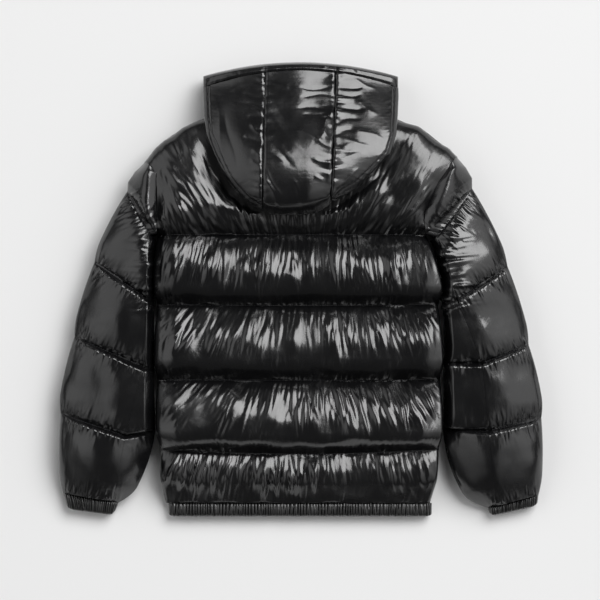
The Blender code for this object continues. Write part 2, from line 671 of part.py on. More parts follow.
def build_hood_side(side):
    tip = HOOD_TIP_LEFT if side < 0 else HOOD_TIP_RIGHT
    column = "left" if side < 0 else "right"
    half = SEAM_GAP / 2
    outer_rows, inner_rows = [], []
    for share in HOOD_ROWS:
        base = lerp(HOOD_BAND_Y, tip, share)
        bend = max(0.0, 1.0 - share / 0.35)
        fold_x = table_value(HOOD_OUTLINE, base, column)
        outer = []
        for across in SIDE_TOP:
            x = lerp(hood_seam_x(side, base) + side * half, fold_x, across)
            y = base + mouth_arc(x) * bend
            x = x if across else hood_seam_x(side, y) + side * half
            outer.append((x, y, hood_top(x, y) if across < 1.0 else table_value(HOOD_LEVELS, y, "fold")))
        seam = outer[0]
        chin = smooth((base + mouth_arc(0) * bend - 344.0) / 8.0)
        end_x = lerp(hood_seam_x(side, base) + side * half, side * ZIP_HALF_GAP, chin)
        for across in SIDE_LOW:
            x = lerp(end_x, fold_x, across)
            y = base + mouth_arc(x) * bend
            outer.append((x, y, hood_bottom(x, y)))
        low_end = outer[-1]
        slit_x = lerp(seam[0], fold_x, 0.7)
        slit_y = base + mouth_arc(slit_x) * bend
        outer_rows.append(outer)
        inner_rows.append([(seam[0], seam[1], table_value(HOOD_LEVELS, seam[1], "fold") + half),
                           (slit_x, slit_y, table_value(HOOD_LEVELS, slit_y, "fold")),
                           (low_end[0], low_end[1], table_value(HOOD_LEVELS, low_end[1], "fold") - half)])
    return wall("hood_" + column, outer_rows, inner_rows, GLOSSY_NYLON)


CENTRE_COLUMNS = 10
CENTRE_LOW = (0.97, 0.9, 0.75, 0.5, 0.36, 0.29, 0.22, 0.16, 0.1, 0.05, 0.0)


def build_hood_centre():
    half = SEAM_GAP / 2
    outer_rows, inner_rows = [], []
    for k in range(CENTRE_COLUMNS + 1):
        across = k / CENTRE_COLUMNS
        low_x = lerp(hood_seam_x(-1, 130.0) + half, hood_seam_x(1, 130.0) - half, across)
        top_x = lerp(hood_seam_x(-1, 375.0) + half, hood_seam_x(1, 375.0) - half, across)
        crown_y = crown_edge(low_x)
        outer = []
        for share in HOOD_ROWS:
            y = lerp(HOOD_BAND_Y + mouth_arc(top_x), crown_y, share)
            x = lerp(hood_seam_x(-1, y) + half, hood_seam_x(1, y) - half, across)
            fold = table_value(HOOD_LEVELS, y, "fold")
            outer.append((x, y, hood_top(x, y) if share < 1.0 else fold))
        for share in CENTRE_LOW:
            y = lerp(HOOD_UNDER_END, crown_y, share)
            x = lerp(hood_seam_x(-1, y) + half, hood_seam_x(1, y) - half, across)
            outer.append((x, y, hood_bottom(x, y)))
        first, last = outer[0], outer[-1]
        slit_y = crown_y + 30.0
        slit_x = lerp(hood_seam_x(-1, slit_y) + half, hood_seam_x(1, slit_y) - half, across)
        middle_y = HOOD_UNDER_END
        middle_x = lerp(hood_seam_x(-1, middle_y) + half, hood_seam_x(1, middle_y) - half, across)
        outer_rows.append(outer)
        inner_rows.append([
            (first[0], first[1], table_value(HOOD_LEVELS, first[1], "fold") + half),
            (middle_x, middle_y, table_value(HOOD_LEVELS, middle_y, "fold") + half),
            (slit_x, slit_y, table_value(HOOD_LEVELS, slit_y, "fold")),
            (last[0], last[1], table_value(HOOD_LEVELS, last[1], "fold") - half)])
    return wall("hood_centre", outer_rows, inner_rows, GLOSSY_NYLON)


def crown_edge(x):
    """The crown's fold line, where the outline closes at the hood's low end."""
    column = "left" if x < HOOD_OUTLINE[0].left else "right"
    if HOOD_OUTLINE[0].left <= x <= HOOD_OUTLINE[0].right:
        return HOOD_OUTLINE[0].y
    for low, high in zip(HOOD_OUTLINE, HOOD_OUTLINE[1:]):
        a, b = getattr(low, column), getattr(high, column)
        if abs(x) <= abs(b):
            return lerp(low.y, high.y, (x - a) / (b - a))
    return HOOD_OUTLINE[-1].y


BAND_LOW = (0.0, 0.2, 0.4, 0.6, 0.76, 0.88, 0.96)


def build_hood_band():
    """Padded channel round the face opening, open at the chin for the zip."""
    left = table_value(HOOD_OUTLINE, 372.0, "left")
    right = table_value(HOOD_OUTLINE, 372.0, "right")
    path = []
    for share in BAND_LOW:
        path.append((lerp(-ZIP_HALF_GAP, left, share), -1))
    path.append((left, 0))
    for share in spread(18)[1:-1]:
        path.append((lerp(left, right, share), 1))
    path.append((right, 0))
    for share in reversed(BAND_LOW):
        path.append((lerp(ZIP_HALF_GAP, right, share), -1))
    outer_rows, inner_rows = [], []
    for step, thickness in ((0.0, 1.0), (0.25, 1.06), (0.7, 0.95), (1.0, 0.45)):
        outer, inner = [], []
        for x, layer in path:
            start = HOOD_BAND_Y + mouth_arc(x) + HOOD_BAND_GAP
            y = start + (HOOD_BAND_WIDTH - mouth_arc(x) * 0.12) * step
            fold = table_value(HOOD_LEVELS, y, "fold")
            if layer > 0:
                z = fold + (hood_top(x, start) - fold) * thickness
            elif layer < 0:
                z = max(0.0, fold - (fold - hood_bottom(x, start)) * min(1.0, thickness * 1.3))
            else:
                z = fold
            outer.append((x, y, z))
            within = lerp(left + 22.0, right - 22.0, (x - left) / (right - left))
            inner_y = y - mouth_arc(x) + mouth_arc(within)
            inner.append((within, inner_y, fold + layer * SEAM_GAP / 2))
        outer_rows.append(outer)
        inner_rows.append(inner)
    return wall("hood_band", outer_rows, inner_rows, GLOSSY_NYLON)


# ================================================================ zip
def box(name, low, high, finish):
    mesh_work = bmesh.new()
    bmesh.ops.create_cube(mesh_work, size=1.0)
    for vertex in mesh_work.verts:
        for axis in range(3):
            vertex.co[axis] = lerp(low[axis], high[axis], vertex.co[axis] + 0.5)
    return finish_mesh(name, mesh_work, finish)


def extruded_profile(name, profile, half_width, finish):
    """A side profile of (y, z) points, drawn out along X."""
    mesh_work = bmesh.new()
    rings = [[mesh_work.verts.new((x, y, z)) for y, z in profile] for x in (-half_width, half_width)]
    for k in range(len(profile)):
        after = (k + 1) % len(profile)
        mesh_work.faces.new((rings[0][k], rings[0][after], rings[1][after], rings[1][k]))
    mesh_work.faces.new(rings[0])
    mesh_work.faces.new(rings[1])
    return finish_mesh(name, mesh_work, finish)


def rod_along_x(name, y, z, radius, half_width, finish):
    profile = []
    for k in range(ROUND_SIDES):
        turn = 2.0 * math.pi * k / ROUND_SIDES
        profile.append((y + radius * math.cos(turn), z + radius * math.sin(turn)))
    return extruded_profile(name, profile, half_width, finish)


def combine(item, tool, operation):
    """Join or cut an object with a hidden tool."""
    tool.hide_render = True
    tool.display_type = "WIRE"
    change = item.modifiers.new(operation.lower(), "BOOLEAN")
    change.operation = operation
    change.solver = "EXACT"
    change.object = tool


def build_zip():
    pieces = []
    for side, word in ((-1, "left"), (1, "right")):
        low, high = sorted((side * (TEETH_HALF_WIDTH + SEAM_GAP), side * (ZIP_HALF_GAP - SEAM_GAP)))
        pieces.append(box("zip_tape_" + word, (low, ZIP_BOTTOM, TAPE_LOW), (high, ZIP_TOP, TAPE_HIGH), ZIP_TAPE))
    pieces.append(box("zip_chain", (-TEETH_HALF_WIDTH, ZIP_BOTTOM, TEETH_LOW),
                      (TEETH_HALF_WIDTH, ZIP_TOP, TEETH_HIGH), ZIP_TEETH))
    slider_low = ZIP_TOP + SEAM_GAP - SLIDER_LENGTH + 3.0
    slider_high = ZIP_TOP + SEAM_GAP + 3.0
    plate_top = TEETH_LOW - SEAM_GAP
    plate_low = plate_top - SLIDER_PLATE
    inner_low = TEETH_HIGH + SEAM_GAP
    neck = ZIP_TOP + SEAM_GAP
    profile = ((slider_low, plate_low), (slider_high, plate_low), (slider_high, inner_low + 1.4),
               (slider_low, inner_low + 1.4), (slider_low, inner_low), (neck, inner_low),
               (neck, plate_top), (slider_low, plate_top))
    slider = extruded_profile("zip_slider", profile, SLIDER_HALF_WIDTH, ZIP_METAL)
    pin_y = slider_high - PIN_Y_BELOW_TOP
    for word, centre in (("left", -1), ("right", 1)):
        low, high = sorted((centre * LUG_INNER, centre * LUG_OUTER))
        lug = box("lug_" + word, (low, pin_y - 2.0, PIN_Z - 1.7), (high, pin_y + 2.0, plate_low + 0.5), ZIP_METAL)
        combine(slider, lug, "UNION")
    pin = rod_along_x("pull_pin", pin_y, PIN_Z, PIN_RADIUS, (LUG_INNER + LUG_OUTER) / 2, ZIP_METAL)
    combine(slider, pin, "UNION")
    pieces.append(slider)
    return pieces + [build_pull(pin_y)]


def build_pull(pin_y):
    """Pull tab: an eye round the slider's pin and a flat tongue that lies on the surface."""
    profile = []
    for k in range(ROUND_SIDES + 1):
        turn = lerp(-90.0, 162.0, k / ROUND_SIDES)
        profile.append((EYE_RADIUS * math.cos(math.radians(turn)), EYE_RADIUS * math.sin(math.radians(turn))))
    flat = -EYE_RADIUS + PULL_THICKNESS
    profile.append((-PULL_LENGTH + 1.0, flat))
    profile.append((-PULL_LENGTH, flat - 0.5))
    profile.append((-PULL_LENGTH, -EYE_RADIUS + 0.5))
    profile.append((-PULL_LENGTH + 1.0, -EYE_RADIUS))
    pull = extruded_profile("zip_pull", profile, PULL_HALF_WIDTH, ZIP_METAL)
    bore = rod_along_x("pull_bore", 0.0, 0.0, BORE_RADIUS, PULL_HALF_WIDTH + 1.0, ZIP_METAL)
    bore.parent = pull
    combine(pull, bore, "DIFFERENCE")
    pull.location = (0.0, pin_y * MM, PIN_Z * MM)
    return pull


def build_jacket():
    build_back()
    for side in (-1, 1):
        build_front(side)
        build_sleeve(side)
        build_hood_side(side)
    for cuff in CUFFS:
        build_cuff(cuff)
    build_hem_band()
    build_hood_centre()
    build_hood_band()
    build_zip()


def centre_on_surface():
    """Move the jacket so that its box stands centred on the origin."""
    bpy.context.view_layer.update()
    corners = [item.matrix_world @ vertex.co for item in bpy.data.objects
               if not item.hide_render for vertex in item.data.vertices]
    middle = Vector([(max(c[axis] for c in corners) + min(c[axis] for c in corners)) / 2
                     for axis in range(3)])
    middle.z = min(corner.z for corner in corners)
    for item in bpy.data.objects:
        if item.parent is None:
            item.location -= middle


for old in list(bpy.data.objects):
    bpy.data.objects.remove(old, do_unlink=True)
build_jacket()
centre_on_surface()
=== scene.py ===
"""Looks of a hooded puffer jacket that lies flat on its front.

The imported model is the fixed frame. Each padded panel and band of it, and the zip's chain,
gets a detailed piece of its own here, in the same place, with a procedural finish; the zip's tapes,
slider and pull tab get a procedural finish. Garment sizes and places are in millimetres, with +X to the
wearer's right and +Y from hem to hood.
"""
import json
import math
from collections import namedtuple
from functools import partial

import bpy
import numpy as np
from bpy.props import FloatProperty, FloatVectorProperty, IntProperty, PointerProperty
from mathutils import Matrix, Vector

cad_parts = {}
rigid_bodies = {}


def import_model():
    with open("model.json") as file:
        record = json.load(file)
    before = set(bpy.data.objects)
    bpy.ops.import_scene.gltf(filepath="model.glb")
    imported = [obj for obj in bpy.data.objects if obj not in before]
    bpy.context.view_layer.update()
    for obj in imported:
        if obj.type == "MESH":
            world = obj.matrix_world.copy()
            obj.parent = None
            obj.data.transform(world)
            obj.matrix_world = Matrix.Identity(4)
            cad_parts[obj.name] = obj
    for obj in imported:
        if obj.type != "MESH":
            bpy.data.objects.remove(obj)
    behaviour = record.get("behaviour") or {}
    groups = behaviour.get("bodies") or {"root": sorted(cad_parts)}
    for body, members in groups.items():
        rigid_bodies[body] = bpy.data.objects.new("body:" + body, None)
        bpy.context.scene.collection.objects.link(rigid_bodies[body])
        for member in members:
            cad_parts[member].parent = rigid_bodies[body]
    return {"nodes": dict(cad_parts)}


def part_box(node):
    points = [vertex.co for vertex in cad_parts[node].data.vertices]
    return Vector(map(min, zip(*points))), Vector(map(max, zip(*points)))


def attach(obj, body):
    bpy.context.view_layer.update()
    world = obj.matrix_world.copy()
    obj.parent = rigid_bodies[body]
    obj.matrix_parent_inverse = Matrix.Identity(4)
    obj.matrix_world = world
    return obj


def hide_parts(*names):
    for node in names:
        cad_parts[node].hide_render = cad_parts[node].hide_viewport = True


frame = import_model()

bl_info = {
    "name": "Puffer Jacket Looks",
    "version": (1, 0, 0),
    "blender": (4, 5, 0),
    "location": "View3D > Sidebar > Jacket",
    "description": "Quilted cloth, gathers, stitching, zip and studio of a hooded puffer jacket",
    "category": "Object",
}

MM = 0.001
EDGE_ANGLE = math.radians(62.0)
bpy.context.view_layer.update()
SIDES = (-1, 1)
WORD = {-1: "left", 1: "right"}
FAR = 400.0             # a distance that stands for no edge near


def table(kind, *rows):
    """Rows of a table whose columns kind names."""
    return tuple(kind(*row) for row in rows)


# ---------------------------------------------------------------- front zip
ZIP_BOTTOM, ZIP_TOP = -396.0, 358.0
ZIP_HALF_GAP = 8.0
CHAIN_LOW, CHAIN_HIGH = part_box("zip_chain")
ORIGIN = np.array(((CHAIN_LOW.x + CHAIN_HIGH.x) / 2, CHAIN_LOW.y - ZIP_BOTTOM * MM, 0.0))

# ---------------------------------------------------------------- padding and seams
SEAM_GAP = 0.3
LAYER_Z = 45.0
HEM_LAYER_Z = 14.0
RIM = 2.5
VALLEY = 9.0
HEM_VALLEY = 10.0
SIDE_ROLL = 36.0
SIDE_TENT = {-1: 0.5, 1: 0.28}      # how far a side edge is an even slope rather than a round turn
TOP_ROLL = 65.0
ARM_ROLL = 40.0
ARM_VALLEY = 27.0       # the armhole seam is held up by the filling on both its sides
FRONT_ROLL = 48.0
OVERHANG = 4.5          # how far a full baffle bulges out over its side seam
YOKE_RISE = 0.26        # share of the yoke in which it swells up from the first line
YOKE_FALL = 0.45        # share of its height that it loses towards the shoulder
YOKE_LENGTH = 215.0
BACK_WIDTH = 500.0
PRESSED_FROM_Z = 60.0   # the hood presses down what lies above this height
PRESSED_CLEAR = 16.0    # how far from the hood the back starts to rise out again
PRESSED_SLOPE = 0.4
PRESSED_ROUNDING = 14.0

# The filling sinks, so a baffle is fullest below its middle. peak is the share of the way up
# where it is, upper and lower are the powers of the curves above and below it.
Puff = namedtuple("Puff", "peak upper lower height")
BODY_PUFF = Puff(0.28, 2.3, 1.75, 1.0)
HEM_PUFF = Puff(0.44, 1.9, 1.32, 0.66)
SLEEVE_PUFF = Puff(0.94, 1.4, 6.0, 1.0)
SHOULDER_PUFF = Puff(0.5, 2.0, 3.0, 1.0)
HEM_SLOPE = 120.0       # length over which the back slopes down to the hem

BodyLine = namedtuple("BodyLine", "y left right sag left_bulge right_bulge")
BODY_LINES = table(
    BodyLine,
    (-374.5, -236.0, 229.0, 0.0, 6.0, 7.0),  # hem seam
    (-280.0, -245.0, 243.0, -8.0, 4.0, 4.0),  # fourth quilting line
    (-157.5, -250.0, 246.0, -1.0, 4.0, 4.0),  # third quilting line
    (-26.0, -250.0, 242.0, -2.0, 5.0, 11.0),  # second quilting line
    (96.0, -250.0, 220.0, 0.0, 0.0, 0.0),  # first quilting line
)
YOKE = len(BODY_LINES) - 1
ARMHOLE = {
    -1: ((-250, 96), (-250, 119), (-250, 149), (-250.5, 178), (-251, 204), (-261, 216), (-271, 226)),
    1: ((220, 96), (216, 119), (218, 137), (230, 160), (241, 188), (259, 213), (274, 235)),
}
SHOULDER_EDGE = ((-271, 226), (-257, 245), (-238, 262), (-224, 271), (-208, 282), (-180, 297), (-130, 313),
                 (-89, 324), (-45, 314), (0, 310), (45, 314), (89, 324), (130, 313), (172, 299), (206, 284),
                 (236, 263), (262, 246), (274, 235))

# Gathers that leave a seam line: one in each spacing, from near to far away from it, as wide and
# as long as said. Where a distance from the line is given, they fade over a length.
Ruche = namedtuple("Ruche", "spacing near far wide long fade", defaults=(1.0,))
BAFFLE_GATHERS = Ruche(1.1, 4, 80, 2.8, 22.0)
BAFFLE_CREASES = Ruche(1.3, 4, 60, 1.5, 16.0)
SEAM_RUFFLES = Ruche(1.6, 0, 12, 1.7, 6.0, 12.0)
LOWER_GATHERS = Ruche(2.0, 2, 30, 2.2, 14.0, 24.0)
YOKE_GATHERS = Ruche(0.5, 2, 190, 2.6, 17.0)
FRONT_GATHERS = Ruche(5.0, 2, 24, 3.2, 9.0)
SLEEVE_GATHERS = Ruche(1.2, 0, 26, 1.9, 9.0, 14.0)
SHOULDER_GATHERS = Ruche(1.2, 0, 49.4, 1.9, 17.1, 26.6)
SLEEVE_SLACK = Ruche(4.0, 6, 60, 3.4, 16.0, 30.0)
ARMPIT_GATHERS = {-1: Ruche(2.0, 0, 22, 2.8, 14.0), 1: Ruche(2.0, 4, 40, 2.8, 14.0)}
ARMPIT_HEIGHT = {-1: 1.0, 1: 1.7}
HOOD_SEAM_GATHERS = Ruche(7.0, 0, 14, 4.2, 13.0, 14.0)
HOOD_SEAM_HEIGHT = {(-1, -1): 2.6, (0, -1): 1.2, (0, 1): 2.8, (1, 1): 4.4}    # by panel and seam
HOOD_EDGE_GATHERS = Ruche(2.2, 4, 22, 2.0, 8.0, 12.0)
BLUNT = 0.1             # how round the creases between two gathers are
COARSE_GATHERED = 0.3   # how gathered the cloth is on a piece's inner sheet

# Lean of the gathers in each baffle and the yoke, in degrees outwards from straight down.
Fan = namedtuple("Fan", "far_left left middle right far_right")
FAN_PLACES = (-250.0, -130.0, 0.0, 130.0, 250.0)
FANS = table(
    Fan,
    (20.0, 12.0, 0.0, 12.0, 20.0),
    (46.0, 40.0, 4.0, 24.0, 36.0),
    (44.0, 28.0, 0.0, 14.0, 24.0),
    (18.0, 14.0, 0.0, 8.0, 14.0),
    (24.0, 36.0, 0.0, 34.0, 28.0),
)
CALMER_RIGHT = 0.24     # share by which the gathers are lower on the right
FAN_TURN = 0.6          # share of a baffle, from its upper line, in which the gathers keep their lean
FAN_RETURN = 0.6        # how much of their lean they have the other way below that

# Broad troughs across the back, where the filling has shifted.
Lump = namedtuple("Lump", "x y lean height wide long")
LUMP_HEIGHT = 0.5
BACK_LUMPS = table(
    Lump,
    (-119, 35, 0.05, -3.6, 9, 30), (2, 32, -0.1, -4.0, 9, 34), (33, 30, 0.1, -3.2, 7, 26),
    (196, 34, 0.1, -4.2, 10, 34), (-75, 40, 0.0, 2.2, 14, 24), (110, 25, 0.0, 2.0, 16, 24),
    (-160, -75, 0.45, -3.0, 9, 34), (-58, -95, 0.1, -3.4, 9, 30), (4, -85, 0.0, -4.0, 10, 32),
    (78, -90, -0.1, -3.0, 8, 30), (166, -88, -0.2, -3.6, 10, 30), (-110, -60, 0.5, 2.5, 14, 30),
    (-205, -205, 0.5, -4.2, 12, 36), (-75, -215, 0.2, -3.6, 9, 30), (-20, -210, 0.0, -3.6, 10, 30),
    (60, -220, -0.1, -4.0, 12, 32), (150, -214, -0.4, -3.0, 9, 28), (-120, -205, 0.5, 2.5, 16, 28),
    (-185, -312, 0.2, -2.4, 9, 18), (-90, -315, 0.0, -2.8, 9, 18), (12, -312, 0.0, -2.4, 9, 18),
    (95, -314, -0.1, -2.8, 10, 18), (180, -312, -0.2, -2.4, 9, 18), (-214, 120, -0.3, 20.0, 40, 42),
    (-150, 240, -0.6, -4.0, 12, 34), (150, 190, 0.5, -5.0, 12, 60),
)

# ---------------------------------------------------------------- sleeves
SleeveLine = namedtuple(
    "SleeveLine", "outer_x outer_y seam_x seam_y inner_x inner_y mid outer_bulge inner_bulge")
SLEEVES = {
    -1: table(
        SleeveLine,
        (-303, 173, -262, 96, -255.2, 88, 38, 7, 0),  # upper arm
        (-360.5, 49, -268, -14, -256.0, -24, 38, 6, 0),  # elbow, above
        (-395.5, -82, -275, -134, -256.0, -143, 38, 7, 0),  # elbow, below
        (-420, -217, -304.5, -255, -254.0, -246, 38, 5, 17),  # forearm
        (-417, -356, -329, -372, -319.5, -374, 16, 0, 0),  # cuff seam
    ),
    1: table(
        SleeveLine,
        (302, 178, 240, 93, 229.0, 86, 38, 7, -7),  # upper arm
        (364, 42, 275, -18, 249.0, -28, 38, 6, -2),  # elbow, above
        (401, -96, 318, -128, 251.0, -128, 38, 7, 0),  # elbow, below
        (423.5, -224, 329, -246, 251.0, -241, 38, 5, 27),  # forearm
        (420, -360, 343, -380, 331, -383, 16, 0, 0),  # cuff seam
    ),
}
CAP_EDGE = {
    -1: ((-274, 222), (-290, 207), (-302, 189), (-303, 173)),
    1: ((277, 231), (291, 215), (302, 196), (302, 178)),
}
CAP_LENGTH = 130.0
CAP_RISE = 0.45              # share of the cap in which it swells up from the first line
CAP_REACH = 90.0             # how far from the first line the gathers see the cap's top
ARMPIT_ABOVE, ARMPIT_BELOW = 34.0, 14.0
SLEEVE_ROW = 2.2             # distance between the rows of points down a sleeve
SLEEVE_CREST = 44.0
SLEEVE_VALLEY = 27.0
SLEEVE_ARM_VALLEY = 33.0
SLEEVE_SEAM_DIP = 0.1
SLEEVE_RIDGE_WANDER = 0.01   # how far a sleeve's ridge strays, as a share of its width
SLEEVE_ROLL = 37.0

# Section of each sleeve baffle from the shoulder down: the share of its width over which it
# rises from the outer fold, how far that side is a slack tent rather than a round tube, the
# share in which it drops to the inner fold beside the body, and the power of that drop.
Section = namedtuple("Section", "outer_share tent inner_share inner_power")
SLEEVE_SECTIONS = table(
    Section,
    (0.76, 0.7, 0.24, 1.15), (0.76, 0.7, 0.13, 1.5), (0.68, 0.75, 0.1, 1.5), (0.66, 0.75, 0.1, 1.5),
    (0.54, 0.3, 0.46, 1.9),
)
SLEEVE_LUMPS = {
    -1: table(Lump, (-300, 60, 0.4, -2.5, 12, 40), (-330, -40, 0.2, 2.5, 24, 34),
              (-340, -170, 0.1, -2.0, 16, 40), (-375, -300, 0.1, 2.0, 18, 30)),
    1: table(Lump, (284, -14, 0.0, 6.0, 24, 22), (292, 76, 0.0, -5.0, 26, 26),
             (350, -60, -0.2, -2.0, 16, 34), (360, -180, -0.1, 2.0, 20, 40),
             (372, -310, -0.1, -2.0, 16, 30)),
}

BAND_ROLL = 12.0        # how far from its folds an elasticated band lies full
# The outer and the inner end of each cuff's edge.
CUFF_ENDS = {-1: ((-409, -385), (-326, -396)), 1: ((418, -379), (334, -398))}
CUFF_LAYER_Z = 15.0
CUFF_CREST = 13.0
CUFF_CORNER = 7.0
CUFF_RIPPLE = 3.2
CUFF_SLIT = 0.4
CUFF_END_FULL = 0.66    # share of its fullness that the cuff keeps at its end

# ---------------------------------------------------------------- hem band
HEM_LEFT, HEM_RIGHT, HEM_BOTTOM = -231.0, 232.0, -398.0
HEM_CREST = 13.0
HEM_CORNER = 5.0
HEM_ROLL = 14.0
HEM_RIPPLE = 3.4
HEM_END_FULL = 0.6

# ---------------------------------------------------------------- hood
Outline = namedtuple("Outline", "y left right")
HOOD_OUTLINE = table(
    Outline,
    (130, -40, 0), (133, -58, 26), (141, -73, 42), (150, -89, 55), (165, -105, 79), (178, -117, 99),
    (201, -133, 124), (215, -140, 137), (235, -149, 157), (271, -163, 168), (305, -168, 171),
    (340, -170, 173), (378, -170, 172),
)
Level = namedtuple("Level", "y fold crest")
HOOD_LEVELS = table(
    Level,
    (130, 104, 138), (165, 108, 147), (200, 109, 149), (245, 102, 137), (285, 85, 119), (315, 66, 104),
    (345, 46, 89), (370, 37, 77), (400, 35, 70),
)
HOOD_SEAT = 80.0
HOOD_SEAMS = {-1: ((-66, 130), (-61, 385)), 1: ((53, 130), (63, 385))}     # low and top end
HOOD_TIP = {-1: 142.0, 1: 155.0}
HOOD_BAND_Y, HOOD_BAND_ARC = 355.0, 28.0
HOOD_BAND_WIDTH = 19.0
HOOD_BAND_GAP = 0.5
HOOD_BAND_FOLD = 22.0        # how far the padding's slit stays from the band's two folds
HOOD_HALF_WIDTH = 171.0
HOOD_MOUTH_Y = 372.0
HOOD_CHIN_Y = 344.0
HOOD_ROLL = 46.0
HOOD_RIDGE = 10.0            # the slack hood slopes down both ways from its ridge, steeper at its left
HOOD_SLACK = {-1: 3.0, 1: 1.6}
HOOD_EDGE, HOOD_EDGE_SHARE = 15.0, 0.24
HOOD_HEM_FROM_EDGE = 9.0     # the seam of the hood's outer edge shows as a shallow line
HOOD_HEM_DIP, HOOD_HEM_WIDTH = 1.3, 1.6
HOOD_SEAM_DIP = 2.4
HOOD_SEAM_REACH = 7.0
HOOD_SEAM_SHARPNESS = 2.8
HOOD_OFF_SHOULDER = 4.0
HOOD_BRIDGE = 9.0
HOOD_RISE = 42.0             # how far the hood's under face rises from the shoulders to its seat
HOOD_UNDER_END = 300.0
HOOD_CLEAR_OF_SHOULDER = 14.0
HOOD_SHOULDER_DROP = 18.0
HOOD_LOW_SHARES = np.array((0.95, 0.88, 0.78, 0.6, 0.4, 0.2, 0.0))
HOOD_UNDER_SHARES = np.array((0.97, 0.9, 0.75, 0.5, 0.36, 0.29, 0.22, 0.16, 0.1, 0.05, 0.0))

# Creases and ridges of the slack hood: a slightly wandering run, its height and its width.
Fold = namedtuple("Fold", "x0 y0 x1 y1 height width")
FOLD_HEIGHT, FOLD_WIDTH, FOLD_WANDER = 0.42, 0.6, 0.04
HOOD_FOLDS = table(
    Fold,
    (-63, 336, -100, 341, -3.5, 5), (-63, 259, -98, 264, -4.5, 6), (-66, 318, -108, 328, -2.5, 3),
    (-66, 300, -92, 302, -2.5, 3), (-84, 322, -66, 306, 2.5, 4), (-86, 288, -66, 268, 3.0, 5),
    (-82, 242, -66, 231, 2.5, 4), (-84, 226, -64, 208, 2.5, 4), (-78, 180, -64, 175, 2.0, 4),
    (-150, 330, -130, 230, 2.5, 9), (-128, 300, -112, 215, -2.5, 8), (-140, 215, -100, 178, 2.0, 6),
    (3, 352, 60, 353, -2.6, 3), (5, 339, 58, 341, -2.2, 3), (0, 318, 60, 315, -3.0, 4),
    (8, 305, 50, 309, -2.2, 3), (46, 304, 42, 272, 5.0, 6), (43, 278, 30, 256, 4.5, 5),
    (42, 277, 60, 243, 4.5, 5), (-6, 277, 30, 262, 5.0, 6), (28, 263, 60, 240, 4.5, 6),
    (58, 242, 98, 240, 3.5, 5), (22, 228, 58, 218, 3.0, 4), (26, 196, 42, 189, 2.5, 3),
    (-55, 308, 0, 246, 2.0, 5), (-59, 286, -20, 240, -1.8, 4), (-63, 194, -34, 146, 3.0, 4),
    (-61, 208, -36, 168, -2.5, 3), (-48, 324, 12, 262, -1.6, 7), (-50, 250, -10, 215, -2.0, 5),
    (-12, 190, 6, 150, 2.0, 5), (-56, 240, -28, 226, 1.6, 4), (64, 350, 108, 355, -3.0, 3),
    (64, 336, 104, 341, -2.6, 3), (63, 313, 112, 317, -3.5, 4), (62, 296, 104, 299, -2.8, 3),
    (61, 280, 96, 277, -3.2, 4), (60, 178, 102, 208, 3.5, 5), (58, 162, 92, 190, -2.5, 3),
    (57, 148, 84, 166, 2.5, 4), (60, 225, 100, 236, -2.5, 4), (96, 330, 132, 306, 2.0, 5),
    (92, 282, 140, 262, 2.4, 6), (70, 262, 120, 250, 2.5, 5), (-46, 362, -20, 350, 2.0, 4),
    (96, 366, 130, 352, 2.0, 5), (-120, 350, -90, 362, 1.6, 6),
)

# ---------------------------------------------------------------- zip teeth and studio
# Outline of a tooth that points to the right: its root, its neck, then the head that meshes.
TOOTH = ((-2.9, -0.95), (-2.9, 0.95), (-0.9, 0.7), (0.0, 1.05), (0.95, 0.85), (0.95, -0.85), (0.0, -1.05),
         (-0.9, -0.7))
TOOTH_WIDTH = 0.62
TOOTH_BEVEL = 0.4
TOOTH_FACE = 0.82       # size of a tooth's upper and under face beside its middle
FLOOR_HALF = 14.0
LENS, HALF_SENSOR = 250.0, 18.0
PICTURE = 1.05          # width of the picture where the jacket lies, in metres
PICTURE_DOWN = 0.0175   # how far the picture's middle lies below the garment's own middle
PICTURE_LEVEL = 0.06    # height of what the picture's width is measured at
CLEAR_ABOVE = 0.4       # height from which the whole jacket is below

# Brightness of the room from side to side, from below to above, and from foot to head, as pairs
# of a place, 0 to 1, and a grey.
WALLS = ((0.0, 0.55), (0.25, 0.5), (0.36, 0.03), (0.6, 0.0), (0.71, 0.5), (0.85, 0.62), (1.0, 0.62))
CEILING = ((0.0, 0.0), (0.58, 0.0), (0.69, 1.0), (0.93, 1.0), (0.985, 0.0))
END_WALLS = ((0.0, 0.2), (0.3, 0.5), (0.5, 1.0), (0.82, 1.0), (0.93, 0.1), (1.0, 0.0))
LOW_WALLS = ((0.0, 0.6), (0.5, 0.3), (0.54, 0.05), (0.6, 0.0))
ROOM_GAIN, ROOM_DIM = 2.0, 0.085    # how bright the walls are, and the room where they are dark


# ================================================================ sizes and colours a user may change
def length(name, description, millimetres):
    return FloatProperty(name=name, description=description, default=millimetres * MM, unit="LENGTH",
                         precision=4)


def linear(code):
    """Linear colour of an sRGB hex value."""
    parts = [int(code[k:k + 2], 16) / 255.0 for k in (1, 3, 5)]
    return tuple(part / 12.92 if part <= 0.04045 else ((part + 0.055) / 1.055) ** 2.4
                 for part in parts) + (1.0,)


def colour(name, description, code):
    return FloatVectorProperty(name=name, description=description, size=4, subtype="COLOR",
                               default=linear(code), min=0.0, max=1.0)


